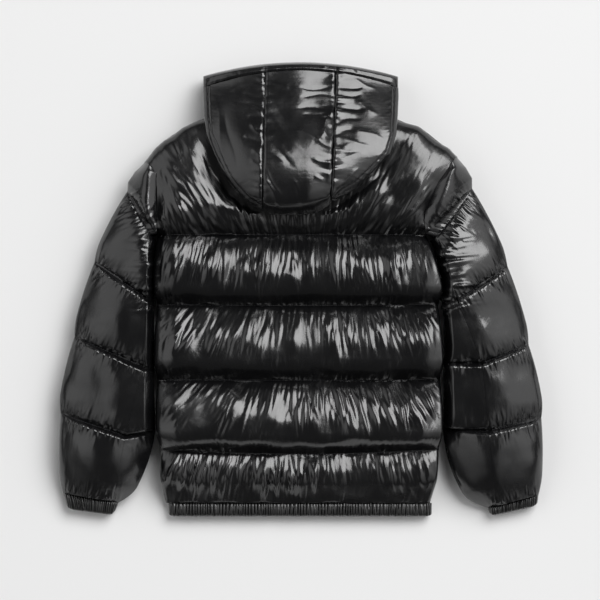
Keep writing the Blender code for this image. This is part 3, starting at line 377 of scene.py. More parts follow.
class JacketSizes(bpy.types.PropertyGroup):
    """Padding, gathers and sewing."""
    crest: length("Baffle crest", "Height of a full baffle above its seam", 43.0)
    cloth_step: length("Cloth step", "Distance between the points of the back's cloth", 1.45)
    crease_depth: length("Gather height", "Height of the gathers below a quilting line", 1.5)
    sleeve_crease: length("Sleeve gather height", "Height of the gathers on the sleeves", 1.5)
    stitch: length("Stitch length", "Length of one stitch", 3.2)
    stitch_gap: length("Stitch gap", "Cloth between two stitches", 0.9)
    thread: length("Thread", "Diameter of the sewing thread", 0.55)
    tooth_pitch: length("Tooth pitch", "Distance from one zip tooth to the next", 2.6)
    cuff_ribs: IntProperty(name="Cuff ribs", description="Gathers on one side of a cuff", default=27)
    hem_ribs: IntProperty(name="Hem ribs", description="Gathers on the back of the hem band", default=88)


class JacketColours(bpy.types.PropertyGroup):
    """Colours of the cloth and the trims."""
    shell: colour("Shell", "Glossy outer cloth", "#0a0a0b")
    ruched: colour("Elasticated cloth", "Cloth of the cuffs and the hem band", "#0a0a0a")
    tape: colour("Zip tape", "Woven tape of the zip", "#121213")
    teeth: colour("Zip teeth", "Moulded teeth of the zip", "#1a1a1c")
    metal: colour("Slider enamel", "Enamel on the slider and the pull tab", "#1c1c1e")
    # The thread's dark grey is partly its own colour and partly a painted highlight. It is paler than the
    # cloth so that each quilting line shows a faint light line.
    thread: colour("Thread", "Sewing thread", "#333336")
    floor: colour("Floor", "Paper that the jacket lies on", "#dddddd")


# ================================================================ helpers
def lerp(a, b, share):
    return a + (b - a) * share


def smooth(share):
    share = np.clip(share, 0.0, 1.0)
    return share * share * (3.0 - 2.0 * share)


def soft_min(a, b, reach):
    """The lower of two heights, with a rounded change over from one to the other."""
    share = np.clip(0.5 + 0.5 * (b - a) / reach, 0.0, 1.0)
    return lerp(b, a, share) - reach * share * (1.0 - share) / 2.0


def roll(distance, width, tent=0.0):
    """Edge of a panel, from 0 at its rim to 1 where it lies full.

    It is a quarter ellipse, or by the share tent a slacker parabola.
    """
    away = 1.0 - np.clip(distance / width, 0.0, 1.0)
    return lerp(np.sqrt(1.0 - away * away), 1.0 - away * away, tent)


def pillow(share, puff=BODY_PUFF):
    """Section of a baffle from its lower line, 0, to its upper line, 1."""
    share = np.clip(share, 0.0, 1.0)
    above = np.maximum(0.0, (share - puff.peak) / (1.0 - puff.peak))
    below = np.maximum(0.0, 1.0 - share / puff.peak)
    return puff.height * (1.0 - above ** puff.upper - below ** puff.lower)


def run_length(points):
    """The points of a polyline and the length up to each."""
    points = np.array(points, float)
    return points, np.concatenate(([0.0], np.cumsum(np.hypot(*np.diff(points, axis=0).T))))


def along(points, share):
    """Point at a share of a polyline's length."""
    points, gone = run_length(points)
    return [np.interp(share * gone[-1], gone, points[:, axis]) for axis in (0, 1)]


def spread(count, bunching):
    """Shares from 0 to 1 that lie closer together at both ends."""
    even = np.linspace(0.0, 1.0, count + 1)
    return lerp(even, 0.5 - 0.5 * np.cos(np.pi * even), bunching)


def some_of(rows, count):
    """A few of many rows, with the first and the last."""
    return rows[np.unique(np.linspace(0, len(rows) - 1, count).astype(int))]


def column(rows, y, name, blur=0.0):
    """A column of a table at any height between its rows, blurred over a length if asked."""
    heights, values = ([getattr(row, key) for row in rows] for key in ("y", name))
    shifts = (-1.0, -0.5, 0.0, 0.5, 1.0) if blur else (0.0,)
    return sum(np.interp(y + shift * blur, heights, values) for shift in shifts) / len(shifts)


def xyz(x, y, z):
    return np.stack(np.broadcast_arrays(x, y, z), -1)


def raised(sheet, relief):
    """A grid of points moved out along its own upward normals."""
    normal = np.cross(np.gradient(sheet, axis=1), np.gradient(sheet, axis=0))
    normal /= np.maximum(np.linalg.norm(normal, axis=2, keepdims=True), 1e-9)
    normal *= np.sign(normal[..., 2].mean())
    return sheet + normal * relief[..., None]


# ================================================================ meshes
def strip(first, second):
    """Triangles between two rows of vertex numbers, keeping their shares of the way level."""
    first, second = first.tolist(), second.tolist()
    last_i, last_j = len(first) - 1, len(second) - 1
    faces = []
    i = j = 0
    while i < last_i or j < last_j:
        if j == last_j or (i < last_i and (i + 1) / last_i <= (j + 1) / last_j):
            faces.append((first[i], second[j], first[i + 1]))
            i += 1
        else:
            faces.append((first[i], second[j], second[j + 1]))
            j += 1
    return faces


def quads(grid):
    """Faces of a grid of vertex numbers."""
    return np.stack((grid[:-1, :-1], grid[:-1, 1:], grid[1:, 1:], grid[1:, :-1]), -1).reshape(-1, 4)


def new_object(name, points, faces, material):
    """Object from points in garment millimetres."""
    mesh = bpy.data.meshes.new(name)
    mesh.from_pydata((points * MM + ORIGIN).tolist(), [], faces)
    mesh.shade_smooth()
    mesh.set_sharp_from_angle(angle=EDGE_ANGLE)
    mesh.materials.append(material)
    item = bpy.data.objects.new(name, mesh)
    bpy.context.scene.collection.objects.link(item)
    return item


def padded_wall(name, outer, inner, material, flip=False, tube=False):
    """Closed wall between a fine outer sheet and a coarse inner one, both rows by columns.

    The columns of a tube run all the way round it, so it closes at its two ends only.
    """
    fine = np.arange(outer[..., 0].size).reshape(outer.shape[:2])
    coarse = fine.size + np.arange(inner[..., 0].size).reshape(inner.shape[:2])
    if flip:
        fine, coarse = fine[:, ::-1], coarse[:, ::-1]
    if tube:
        fine, coarse = (np.concatenate((grid, grid[:, :1]), 1) for grid in (fine, coarse))
    faces = quads(fine).tolist() + quads(coarse)[:, ::-1].tolist()
    faces += strip(fine[0], coarse[0]) + strip(fine[-1][::-1], coarse[-1][::-1])
    if not tube:
        faces += strip(fine[:, 0][::-1], coarse[:, 0][::-1]) + strip(fine[:, -1], coarse[:, -1])
    return new_object(name, np.concatenate((outer.reshape(-1, 3), inner.reshape(-1, 3))), faces, material)


def lay_cloth(item, across, down, gathered):
    """Gives the finish its way along the gathers, and how gathered the cloth is."""
    mesh = item.data
    guide = np.zeros((len(mesh.vertices), 2))
    strength = np.full(len(mesh.vertices), COARSE_GATHERED)
    fine = across.size
    guide[:fine, 0] = across.ravel() * MM
    guide[:fine, 1] = np.broadcast_to(down, across.shape).ravel() * MM
    strength[:fine] = np.broadcast_to(gathered, across.shape).ravel()
    corners = np.zeros(len(mesh.loops), int)
    mesh.loops.foreach_get("vertex_index", corners)
    mesh.uv_layers.new(name="gathers").data.foreach_set("uv", guide[corners].ravel())
    mesh.attributes.new("gathered", "FLOAT", "POINT").data.foreach_set("value", strength)


def dress(item, slot, *nodes, fill=None, body="jacket"):
    """Fit a piece to the frame: it rides on a body and may stand for nodes."""
    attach(item, body)
    if nodes:
        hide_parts(*nodes)


# ================================================================ gathers
def swells(x, y, starts, wide=1.0, long=1.0):
    """Sum of long, narrow swells. A start is x, y, lean in radians from +Y, height and two sizes."""
    field = np.zeros(np.broadcast(x, y).shape)
    for at_x, at_y, lean, height, width_share, length_share in starts:
        way_x, way_y = math.sin(lean), math.cos(lean)
        dx, dy = x - at_x, y - at_y
        on = (dx * way_x + dy * way_y) / (long * length_share)
        off = (dx * way_y - dy * way_x) / (wide * width_share)
        near = (np.abs(on) < 3.0) & (np.abs(off) < 3.0)
        field[near] += height * np.exp(-0.5 * (on[near] ** 2 + off[near] ** 2))
    return field


def gathers(x, y, starts, wide, long):
    """Swells with rounded tops and narrow creases between them."""
    field = swells(x, y, starts, wide, long)
    return np.sqrt(field * field + BLUNT * BLUNT) - BLUNT


def gather_sizes(random):
    return (random.choice((-1.0, 1.0)) * random.uniform(0.5, 1.0), random.uniform(0.7, 1.4),
            random.uniform(0.6, 1.5))


def straight(_):
    return 0.0


def seam_starts(random, line, kind, toward, lean=straight):
    """Places for gathers that leave a seam line. toward is 1 to its left and -1 to its right."""
    points, gone = run_length(line)
    steps = np.diff(points, axis=0)
    starts = []
    for k in range(int(gone[-1] / kind.spacing)):
        at = min((k + random.uniform()) * kind.spacing, gone[-1] - 0.01)
        piece = np.searchsorted(gone, at, side="right") - 1
        x, y = (np.interp(at, gone, points[:, axis]) for axis in (0, 1))
        turn = math.atan2(steps[piece][1], steps[piece][0]) + toward * math.pi / 2
        turn -= lean(x) + random.normal(0.0, 0.15)
        distance = lerp(kind.near, kind.far, random.uniform() ** 1.2)
        starts.append((x + math.cos(turn) * distance, y + math.sin(turn) * distance, math.pi / 2 - turn)
                      + gather_sizes(random))
    return starts


def ruched(random, x, y, line, kind, toward, lean=straight, gap=0.0):
    """Gathers of a kind along a seam line. gap is the distance from it, over which they fade."""
    starts = seam_starts(random, line, kind, toward, lean)
    return gathers(x, y, starts, kind.wide, kind.long) * np.exp(-gap / kind.fade)


def scattered(random, x, y, spacing, wander=1.6):
    """Places for creases all over a panel."""
    low_x, high_x, low_y, high_y = x.min(), x.max(), y.min(), y.max()
    count = int((high_x - low_x) * (high_y - low_y) / spacing ** 2)
    return [(random.uniform(low_x, high_x), random.uniform(low_y, high_y), random.uniform(-wander, wander))
            + gather_sizes(random) for _ in range(count)]


def fold_relief(x, y, folds):
    """Sharp-topped creases and ridges along straight runs, fading at their ends."""
    field = np.zeros(np.broadcast(x, y).shape)
    for fold in folds:
        way_x, way_y = fold.x1 - fold.x0, fold.y1 - fold.y0
        size = math.hypot(way_x, way_y)
        share = ((x - fold.x0) * way_x + (y - fold.y0) * way_y) / size ** 2
        off = ((x - fold.x0) * way_y - (y - fold.y0) * way_x) / size
        off = off + FOLD_WANDER * size * np.sin(share * math.pi * 1.5 + fold.x0)
        taper = smooth((share + 0.15) / 0.35) * smooth((1.15 - share) / 0.35)
        width = fold.width * FOLD_WIDTH * (0.35 + taper)
        field += FOLD_HEIGHT * fold.height * taper * np.exp(-(np.sqrt(off * off + 0.6) - 0.77) / width)
    return field


# ================================================================ back
def seam_of(line):
    return (line.left, line.y), (line.right, line.y)


def shoulder_y(x):
    return np.interp(x, *zip(*SHOULDER_EDGE))


def past_hem(y, low, high, reach):
    """A height that grows from low at the hem seam to high beyond a reach."""
    return lerp(low, high, smooth((y - BODY_LINES[0].y) / reach))


def layer_z(y):
    return past_hem(y, HEM_LAYER_Z, LAYER_Z, 62.0)


def body_steps(row_step):
    """Number of each baffle and shares up it, closer together at the seams."""
    steps = []
    for number, (low, high) in enumerate(zip(BODY_LINES, BODY_LINES[1:])):
        steps += [(number, share) for share in spread(round((high.y - low.y) / row_step), 0.35)[:-1]]
    return steps + [(YOKE, share) for share in spread(round(YOKE_LENGTH / row_step), 0.2)]


def body_plan(shares, steps, sagging=1.0):
    """Arrays of x, y, fullness, distance to the lower and upper line, and yoke share."""
    plan = {key: np.zeros((len(steps), len(shares))) for key in ("x", "y", "full", "low", "high", "yoke")}
    (left_x, left_y), (right_x, right_y) = ARMHOLE[-1][-1], ARMHOLE[1][-1]
    arch = shoulder_y(lerp(left_x, right_x, shares)) - lerp(left_y, right_y, shares)
    for r, (number, step) in enumerate(steps):
        if number < YOKE:
            low, high = BODY_LINES[number:number + 2]
            size = high.y - low.y
            full = pillow(step, BODY_PUFF if number else HEM_PUFF)
            left = lerp(low.left, high.left, step) - low.left_bulge * full
            right = lerp(low.right, high.right, step) + low.right_bulge * full
            sag = lerp(low.sag, high.sag, step) * np.sin(np.pi * shares) * sagging
            row = (lerp(left, right, shares), lerp(low.y, high.y, step) + sag, full, step * size,
                   (1.0 - step) * size, 0.0)
        else:
            left, right = (along(ARMHOLE[side], step) for side in SIDES)
            x, y = (lerp(left[axis], right[axis], shares) for axis in (0, 1))
            rise = 1.0 - (1.0 - np.clip(step / YOKE_RISE, 0.0, 1.0)) ** BODY_PUFF.lower
            fall = 1.0 - YOKE_FALL * smooth((step - YOKE_RISE * 0.6) / 1.1)
            row = x, y + arch * step, rise * fall, step * YOKE_LENGTH, FAR, max(step, 1e-6)
        for key, value in zip(plan, row):
            plan[key][r] = value
    plan["number"] = np.array([number for number, _ in steps])
    return plan


def hood_sides(y, blur=0.0):
    """Left and right edge of the hood."""
    return [column(HOOD_OUTLINE, y, word, blur) for word in WORD.values()]


def hood_gap(x, y):
    """Distance from a point to the hood's outline, negative inside it."""
    left, right = hood_sides(y)
    low_end = HOOD_OUTLINE[0].y
    below = low_end - y + np.maximum(0.0, np.abs(x + 20.0) - 20.0) * 0.5
    return np.where(y < low_end, below, np.maximum(left - x, x - right))


def back_sheet(plan, crest):
    """Smooth outer face of the back, and the distance to its side seams."""
    x, y = plan["x"], plan["y"]
    side = np.minimum(x - x[:, :1], x[:, -1:] - x)
    full = lerp(past_hem(y, HEM_VALLEY, VALLEY, 40.0), crest, plan["full"])
    yoke = lerp(np.minimum(full, ARM_VALLEY), full, roll(side, ARM_ROLL, 1.0))
    tent = np.where(x < 0.0, SIDE_TENT[-1], SIDE_TENT[1])
    away = 1.0 - np.clip(side / SIDE_ROLL, 0.0, 1.0)
    body = full * lerp(roll(side, SIDE_ROLL * 0.6 * tent), 1.0 - away ** 1.8, tent)
    height = np.where(plan["yoke"] > 0.0, yoke * roll(shoulder_y(x) - y, TOP_ROLL), body)
    slope = past_hem(y, HEM_LAYER_Z, LAYER_Z, HEM_SLOPE)
    z = slope + SEAM_GAP / 2 + RIM + np.maximum(height, layer_z(y) - slope)
    pressed = HOOD_SEAT - 1.0 + np.maximum(0.0, hood_gap(x, y) - PRESSED_CLEAR) * PRESSED_SLOPE
    z = np.where(z > PRESSED_FROM_Z, soft_min(z, pressed, PRESSED_ROUNDING), z)
    out = OVERHANG * plan["full"] * np.exp(-((side - 4.0) / 5.0) ** 2) * smooth(side / 2.0)
    return xyz(x + np.sign(x) * out * (plan["yoke"] == 0.0), y, z), side


def fan_lean(fan, x):
    """Lean of the gathers at x, positive where they run down to the wearer's left."""
    signed = (fan.far_left, fan.left, fan.middle, -fan.right, -fan.far_right)
    return np.radians(np.interp(x, FAN_PLACES, signed))


def back_relief(plan, side, depth):
    """Gathers of the back, the way along them, and how gathered the cloth is."""
    random = np.random.default_rng(11)
    relief, across = np.zeros_like(plan["x"]), plan["x"].copy()
    for number, line in enumerate(BODY_LINES):
        rows = plan["number"] == number
        x, y, low, high = (plan[key][rows] for key in ("x", "y", "low", "high"))
        lean = partial(fan_lean, FANS[number])
        if number < YOKE:
            upper = BODY_LINES[number + 1]
            field = ruched(random, x, y, seam_of(upper), BAFFLE_GATHERS, -1, lean)
            field += 0.3 * ruched(random, x, y, seam_of(upper), BAFFLE_CREASES, -1, lean)
            patches = swells(x, y, scattered(random, x, y, 30.0), 14.0, 24.0)
            field *= np.clip(0.8 + 0.6 * patches, 0.35, 1.5)
            field *= 1.0 - CALMER_RIGHT * smooth((x + 40.0) / 140.0)
            field *= depth * (0.24 + np.exp(-((high - 50.0) / 36.0) ** 2))
            field += 0.6 * ruched(random, x, y, seam_of(upper), SEAM_RUFFLES, -1, lean, high)
            field += 0.4 * depth * ruched(random, x, y, seam_of(line), LOWER_GATHERS, 1,
                                          lambda at: -FAN_RETURN * lean(at), low)
            turn = FAN_TURN * (upper.y - line.y)
            run = np.minimum(high, turn) - FAN_RETURN * np.maximum(high - turn, 0.0)
            across[rows] += np.tan(lean(x)) * run
        else:
            field = 1.1 * depth * ruched(random, x, y, seam_of(line), YOKE_GATHERS, 1, lambda at: -lean(at))
            field *= 0.3 + 0.8 * np.exp(-low / 45.0)
            across[rows] += np.tan(lean(x)) * low
        relief[rows] = field + swells(x, y, scattered(random, x, y, 16.0), 12.0, 20.0)
    relief += LUMP_HEIGHT * swells(plan["x"], plan["y"], BACK_LUMPS)
    nearest = np.minimum(plan["low"], plan["high"])
    fade = smooth(side / 18.0) * smooth((nearest + 1.0) / 6.0)
    return relief * fade, across, 0.25 + 0.6 * np.exp(-nearest / 30.0)


def build_back(sizes, cloth):
    columns = round(BACK_WIDTH * MM / sizes.cloth_step)
    plan = body_plan(spread(columns, 0.25), body_steps(sizes.cloth_step / MM * 2.0))
    sheet, side = back_sheet(plan, sizes.crest / MM)
    relief, across, gathered = back_relief(plan, side, sizes.crease_depth / MM)
    low = body_plan(np.linspace(0.0, 1.0, 5), body_steps(30.0), sagging=0.0)
    inner = xyz(low["x"], low["y"], layer_z(low["y"]) + SEAM_GAP / 2)
    item = padded_wall("back_panel", raised(sheet, relief), inner, cloth)
    lay_cloth(item, across, plan["y"], gathered)
    dress(item, "glossy_nylon", "back", fill=0.8)


# ================================================================ fronts
FRONT_SHARES = np.concatenate((np.linspace(0.0, 0.08, 16)[:-1], np.linspace(0.08, 0.2, 14)[:-1],
                               np.linspace(0.2, 0.48, 16)))


def build_front(side, cloth):
    """A front lies flat on the surface and curls up at its edges."""
    plan = body_plan(FRONT_SHARES if side < 0 else 1.0 - FRONT_SHARES, body_steps(5.0), sagging=0.0)
    x, y = plan["x"], plan["y"]
    x[:, -1] = side * ZIP_HALF_GAP
    edge = np.abs(x - x[:, :1])
    top = layer_z(y) - SEAM_GAP / 2
    full = lerp(0.42, 1.25, plan["full"])
    body = lerp(1.25, full, 1.0 - smooth((edge - 18.0) / 34.0)) * roll(edge, FRONT_ROLL)
    yoke = lerp(1.25, full, 0.3) * roll(shoulder_y(x) - y, TOP_ROLL)
    lift = (top - RIM) * np.where(plan["yoke"] > 0.0, yoke, body)
    random = np.random.default_rng(31 + side)
    starts = [start for line in BODY_LINES for toward in (-1, 1)
              for start in seam_starts(random, seam_of(line), FRONT_GATHERS, toward)]
    ruche = 1.4 * gathers(x, y, starts, FRONT_GATHERS.wide, FRONT_GATHERS.long) * smooth(edge / 12.0)
    z = np.maximum(0.0, top - RIM - lift - ruche * (lift < top - RIM - 1.0))
    picks = np.unique(np.append(np.arange(0, x.shape[1], 6), x.shape[1] - 1))
    item = padded_wall("front_panel_" + WORD[side], xyz(x, y, z), xyz(x, y, top)[::4, picks], cloth,
                       flip=side < 0)
    lay_cloth(item, x, y, 0.3 + 0.7 * np.exp(-np.minimum(plan["low"], plan["high"]) / 20.0))
    dress(item, "glossy_nylon", "front_" + WORD[side], fill=0.8)


# ================================================================ sleeves
def line_points(line):
    """Outer end, long seam and inner end of a sleeve's line."""
    return np.array(line[:6], float).reshape(3, 2)


def sleeve_plan(side, row_step):
    """Rows of a sleeve from the shoulder point to the cuff seam."""
    lines = SLEEVES[side]
    rows = {key: [] for key in ("outer", "seam", "inner", "mid", "full", "cap", "above", "below", "number")}

    def add(*values):
        for key, value in zip(rows, values):
            rows[key].append(value)

    for step in spread(round(CAP_LENGTH / row_step), 0.2)[:-1]:
        seam_x, seam_y = along(ARMHOLE[side], 1.0 - step)
        inner = (seam_x + side * SEAM_GAP, seam_y)
        full = 1.0 - (1.0 - min(1.0, (1.0 - step) / CAP_RISE)) ** SLEEVE_PUFF.lower
        add(along(CAP_EDGE[side], step), inner, inner, lines[0].mid, full, 1.0, FAR,
            (1.0 - step) * CAP_REACH, 0)
    for number, (low, high) in enumerate(zip(lines, lines[1:]), 1):
        start, end = line_points(low), line_points(high)
        way_x, way_y = (end - start).T
        bulge = side * np.array((low.outer_bulge, 0.0, -low.inner_bulge)) / np.hypot(way_x, way_y)
        aside = np.stack((-way_y * bulge, way_x * bulge), -1)
        size = math.hypot(way_x[0], way_y[0])
        steps = spread(round(size / row_step), 0.35)
        for step in steps if number == len(lines) - 1 else steps[:-1]:
            outer, seam, inner = lerp(start, end, step) + aside * pillow(1.0 - step)
            mid = lerp(low.mid, high.mid, smooth(step * step))
            full = pillow(1.0 - step, SHOULDER_PUFF if number == 1 else SLEEVE_PUFF)
            add(outer, seam, inner, mid, full, 0.0, step * size, (1.0 - step) * size, number)
    return {key: np.array(value, float) for key, value in rows.items()}


def gap_between(x, y, ends):
    return np.hypot(x - ends[:, :1], y - ends[:, 1:])


def sleeve_top(plan, x, y):
    """Height of a sleeve's upper face over its fold lines."""
    mid, full, cap = (plan[key][:, None] for key in ("mid", "full", "cap"))
    taper = np.clip((mid - 16.0) / 22.0, 0.0, 1.0)
    height = lerp(SLEEVE_VALLEY * lerp(0.75, 1.0, taper), SLEEVE_CREST * lerp(0.62, 1.0, taper), full)
    width = np.hypot(*(plan["outer"] - plan["inner"]).T)[:, None]
    to_outer, to_inner = (gap_between(x, y, plan[key]) for key in ("outer", "inner"))
    sections = np.array(SLEEVE_SECTIONS)[plan["number"].astype(int)]
    outer_share, tent, inner_share, inner_power = (sections[:, k, None] for k in range(4))
    outer_share = outer_share + SLEEVE_RIDGE_WANDER * (np.sin(y / 15.0) + 0.6 * np.sin(y / 5.7 + 1.0))
    height = height * roll(to_outer, np.maximum(width * outer_share, 30.0), tent)
    capped = lerp(np.minimum(height, SLEEVE_ARM_VALLEY), height, roll(to_inner, ARM_ROLL, 1.0))
    away = 1.0 - np.clip(to_inner / np.maximum(width * inner_share, 14.0), 0.0, 1.0)
    return np.where(cap > 0.0, capped, height * (1.0 - away ** inner_power))


def sleeve_bottom(plan, x, y):
    """Under face of a sleeve: flat on the surface, curling up at both folds."""
    mid, full, cap = (plan[key][:, None] for key in ("mid", "full", "cap"))
    top = mid - RIM
    inner = np.where(cap > 0.0, FAR, gap_between(x, y, plan["inner"]))
    edge = np.minimum(gap_between(x, y, plan["outer"]), inner)
    full = lerp(1.3, lerp(0.5, 1.3, full), 1.0 - smooth((edge - 14.0) / 26.0))
    return np.maximum(0.0, top - top * full * roll(edge, SLEEVE_ROLL))


def sleeve_relief(side, plan, x, y, depth):
    """Ruching beside the sleeve's quilting lines and slack creases between them.

    It depends on the place alone, so that it runs on across the long seams.
    """
    random = np.random.default_rng(23 + side)
    lines = SLEEVES[side]
    relief = np.zeros_like(x)
    for number, line in enumerate(lines):
        seam = line_points(line)[::-1]
        for toward, baffle, key in ((side, number, "below"), (-side, number + 1, "above")):
            rows = plan["number"] == baffle
            place, gap = (x[rows], y[rows]), plan[key][rows, None]
            kind = SHOULDER_GATHERS if (number, key) == (0, "above") else SLEEVE_GATHERS
            close = ruched(random, *place, seam, kind, toward, gap=gap) * smooth(gap / 7.0)
            slack = ruched(random, *place, seam, SLEEVE_SLACK, toward, gap=gap)
            relief[rows] += depth * (1.3 * close + 0.35 * slack)
    armhole = ((lines[0].inner_x, lines[0].inner_y + ARMPIT_ABOVE),
               (lines[1].inner_x, lines[1].inner_y - ARMPIT_BELOW))
    relief += depth * ARMPIT_HEIGHT[side] * ruched(random, x, y, armhole, ARMPIT_GATHERS[side], side)
    relief += swells(x, y, SLEEVE_LUMPS[side])
    span = np.array([line_points(line)[0] for line in lines] + [armhole[0]])
    return relief + 0.9 * swells(x, y, scattered(random, *span.T, 20.0), 12.0, 22.0)


# Halves of a sleeve's tube: the sign of the way from the seam, the fold it goes round, the shares
# of that way on its upper and its under face, and how deep the slit of its padding is.
Half = namedtuple("Half", "way fold shares low_shares slit")
HALVES = {
    "upper": Half(1.0, "outer", 1.0 - (1.0 - np.linspace(0.0, 1.0, 100)) ** 1.35,
                  (0.97, 0.9, 0.8, 0.65, 0.45, 0.2, 0.0), 0.78),
    "under": Half(-1.0, "inner", 1.0 - (1.0 - np.linspace(0.0, 1.0, 26)) ** 1.35,
                  (0.93, 0.8, 0.6, 0.3, 0.0), 0.5),
}


def sleeve_half(word, side, rows, depth, cloth):
    """Half of a sleeve, from the seam over its fold and back underneath."""
    half, fold = HALVES[word], rows[HALVES[word].fold]
    mid = rows["mid"][:, None]
    start = rows["seam"].copy()
    start[:, 0] += half.way * side * SEAM_GAP / 2 * (rows["cap"] == 0.0)

    def spots(shares):
        return [lerp(start[:, axis, None], fold[:, axis, None], np.array(shares)) for axis in (0, 1)]

    x, y = spots(half.shares)
    z = mid + RIM + sleeve_top(rows, x, y)
    z[:, -1:] = mid + RIM
    relief = sleeve_relief(side, rows, x, y, depth)
    relief -= SLEEVE_SEAM_DIP * np.exp(-(gap_between(x, y, start) / 1.6) ** 2)
    top = raised(xyz(x, y, z), relief * smooth((1.0 - half.shares) / 0.1))
    top[:, 0, :2] = start
    low = spots(half.low_shares)
    outer = np.concatenate((top, xyz(*low, sleeve_bottom(rows, *low))), 1)
    inner = xyz(*spots((0.0, half.slit, 0.0)), mid + SEAM_GAP / 2 * np.array((1.0, 0.0, -1.0)))
    item = padded_wall("arm_" + word + "_" + WORD[side], outer, some_of(inner, 30), cloth,
                       flip=side * half.way < 0)
    across = np.hypot(outer[..., 0] - start[:, :1], outer[..., 1] - start[:, 1:]) * half.way
    walk = np.cumsum(np.hypot(*np.gradient(rows["seam"], axis=0).T))[:, None]
    nearest = np.minimum(rows["above"], rows["below"])[:, None]
    lay_cloth(item, across, walk, 0.1 + 0.8 * np.exp(-nearest / 16.0))
    dress(item, "glossy_nylon", "sleeve_" + word + "_" + WORD[side], fill=0.75)


def build_sleeve(side, sizes, cloth):
    plan = sleeve_plan(side, SLEEVE_ROW)
    tube = {key: value[plan["cap"] == 0.0] for key, value in plan.items()}
    sleeve_half("upper", side, plan, sizes.sleeve_crease / MM, cloth)
    sleeve_half("under", side, tube, sizes.sleeve_crease / MM, cloth)


# ================================================================ cuffs and hem
def ribbed(random, even, count, wander):
    """Height of uneven rounded ribs, where even is the share of the way across them."""
    edges = np.concatenate(((0.0,), np.cumsum(random.uniform(0.6, 1.5, count))))
    phase = np.interp(even, edges / edges[-1], np.arange(count + 1.0))
    sizes = random.uniform(0.45, 1.25, count)[np.minimum(phase.astype(int), count - 1)]

    def height(step):
        bent = math.pi * phase + wander * smooth(step) * np.sin(even * 31.0)
        return np.abs(np.sin(bent)) ** 0.55 * sizes - 0.6

    return height


def band_z(layer, level, crest, full, step, end, ripple):
    """Height of a band's upper or under face, thinner at both its edges."""
    full = full * np.interp(step, (0.0, 0.15, 0.5, 0.85, 1.0), (0.8, 0.98, 1.05, 0.95, end))
    if layer > 0:
        return level + RIM * 0.6 + (crest - RIM) * full + ripple
    return np.maximum(0.0, level - RIM * 0.6 - level * 1.2 * full + ripple)


def build_band(name, node_name, outer, inner, cloth, tube):
    outer = np.array(outer)
    item = padded_wall(name, outer, np.array(inner), cloth, tube=tube)
    lay_cloth(item, outer[..., 0], outer[..., 1], 0.6)
    dress(item, "ruched_nylon", node_name, fill=0.3)


def build_cuff(side, ribs, cloth):
    """Flattened, gathered ring of elasticated cloth at the end of a sleeve."""
    even = np.linspace(0.0, 1.0, ribs * 8, endpoint=False)
    uneven = even + 0.006 * np.sin(even * 37.0 + side) + 0.004 * np.sin(even * 71.0)
    uneven[0] = 0.0
    rib = ribbed(np.random.default_rng(5 + side), even, ribs, 0.3)
    start = line_points(SLEEVES[side][-1])[::2]
    end = np.array(CUFF_ENDS[side], float)
    up = start[0] - end[0]
    slit = np.linspace(0.12, 0.88, 12)
    outer, inner = [], []
    for step in np.linspace(0.0, 1.0, 13):
        a, b = lerp(start, end, step)
        layers = []
        for layer, share, thin in ((1, uneven, 1.0), (-1, 1.0 - even, 0.4)):
            edge = np.minimum(share, 1.0 - share) * math.dist(a, b)
            full = roll(edge, BAND_ROLL)
            ripple = thin * CUFF_RIPPLE * rib(step) * smooth(edge / 5.0) * (1.0 - 0.35 * step)
            corner = CUFF_CORNER * (1.0 - full) * step ** 3 / math.hypot(*up)
            z = band_z(layer, CUFF_LAYER_Z, CUFF_CREST, full, step, CUFF_END_FULL, ripple)
            x, y = (lerp(a[axis], b[axis], share) + corner * up[axis] for axis in (0, 1))
            layers.append(xyz(x, y, z))
        outer.append(np.concatenate(layers))
        if step in (0.0, 1.0):
            inner.append(np.concatenate([
                xyz(*(lerp(a[axis], b[axis], way) for axis in (0, 1)), CUFF_LAYER_Z + layer * CUFF_SLIT)
                for layer, way in ((1, slit), (-1, slit[::-1]))]))
    build_band("wrist_band_" + WORD[side], "cuff_" + WORD[side], outer, inner, cloth, True)


def build_hem(ribs, cloth):
    """Gathered band of elasticated cloth round the bottom edge, open at the zip."""
    even = np.linspace(0.0, 1.0, ribs * 7 + 1)
    rib = ribbed(np.random.default_rng(8), even, ribs, 0.5)
    x_left = np.linspace(-ZIP_HALF_GAP, HEM_LEFT, 60)[:-1]
    x_right = np.linspace(HEM_RIGHT, ZIP_HALF_GAP, 60)[1:]
    outer, inner = [], []
    for step in np.linspace(0.0, 1.0, 11):
        points, slits = [], []
        for x, layer in ((x_left, -1), (lerp(HEM_LEFT, HEM_RIGHT, even), 1), (x_right, -1)):
            edge = np.minimum(x - HEM_LEFT, HEM_RIGHT - x)
            corner = HEM_CORNER * (1.0 - roll(edge, BAND_ROLL)) * step
            y = lerp(BODY_LINES[0].y - SEAM_GAP, HEM_BOTTOM + corner, step)
            ripple = HEM_RIPPLE * rib(step) * smooth(edge / 5.0) if layer > 0 else 0.0
            z = band_z(layer, HEM_LAYER_Z, HEM_CREST, roll(edge, HEM_ROLL), step, HEM_END_FULL, ripple)
            points.append(xyz(x, y, z))
            share = np.clip((np.abs(x) - ZIP_HALF_GAP) / (HEM_RIGHT - ZIP_HALF_GAP), 0.0, 1.0)
            z = HEM_LAYER_Z + layer * SEAM_GAP / 2 * np.minimum(1.0, (edge + 1.0) / HEM_ROLL)
            slits.append(xyz(x - np.sign(x) * HEM_ROLL * share, y, z)[::6])
        outer.append(np.concatenate(points))
        if step in (0.0, 1.0):
            inner.append(np.concatenate(slits))
    build_band("hem_casing", "hem_band", outer, inner, cloth, False)


# ================================================================ hood
def hood_seam_x(side, y):
    (low_x, low_y), (top_x, top_y) = HOOD_SEAMS[side]
    return lerp(low_x, top_x, (y - low_y) / (top_y - low_y))


def mouth_arc(x):
    return HOOD_BAND_ARC * np.maximum(0.0, 1.0 - (x / HOOD_HALF_WIDTH) ** 2)


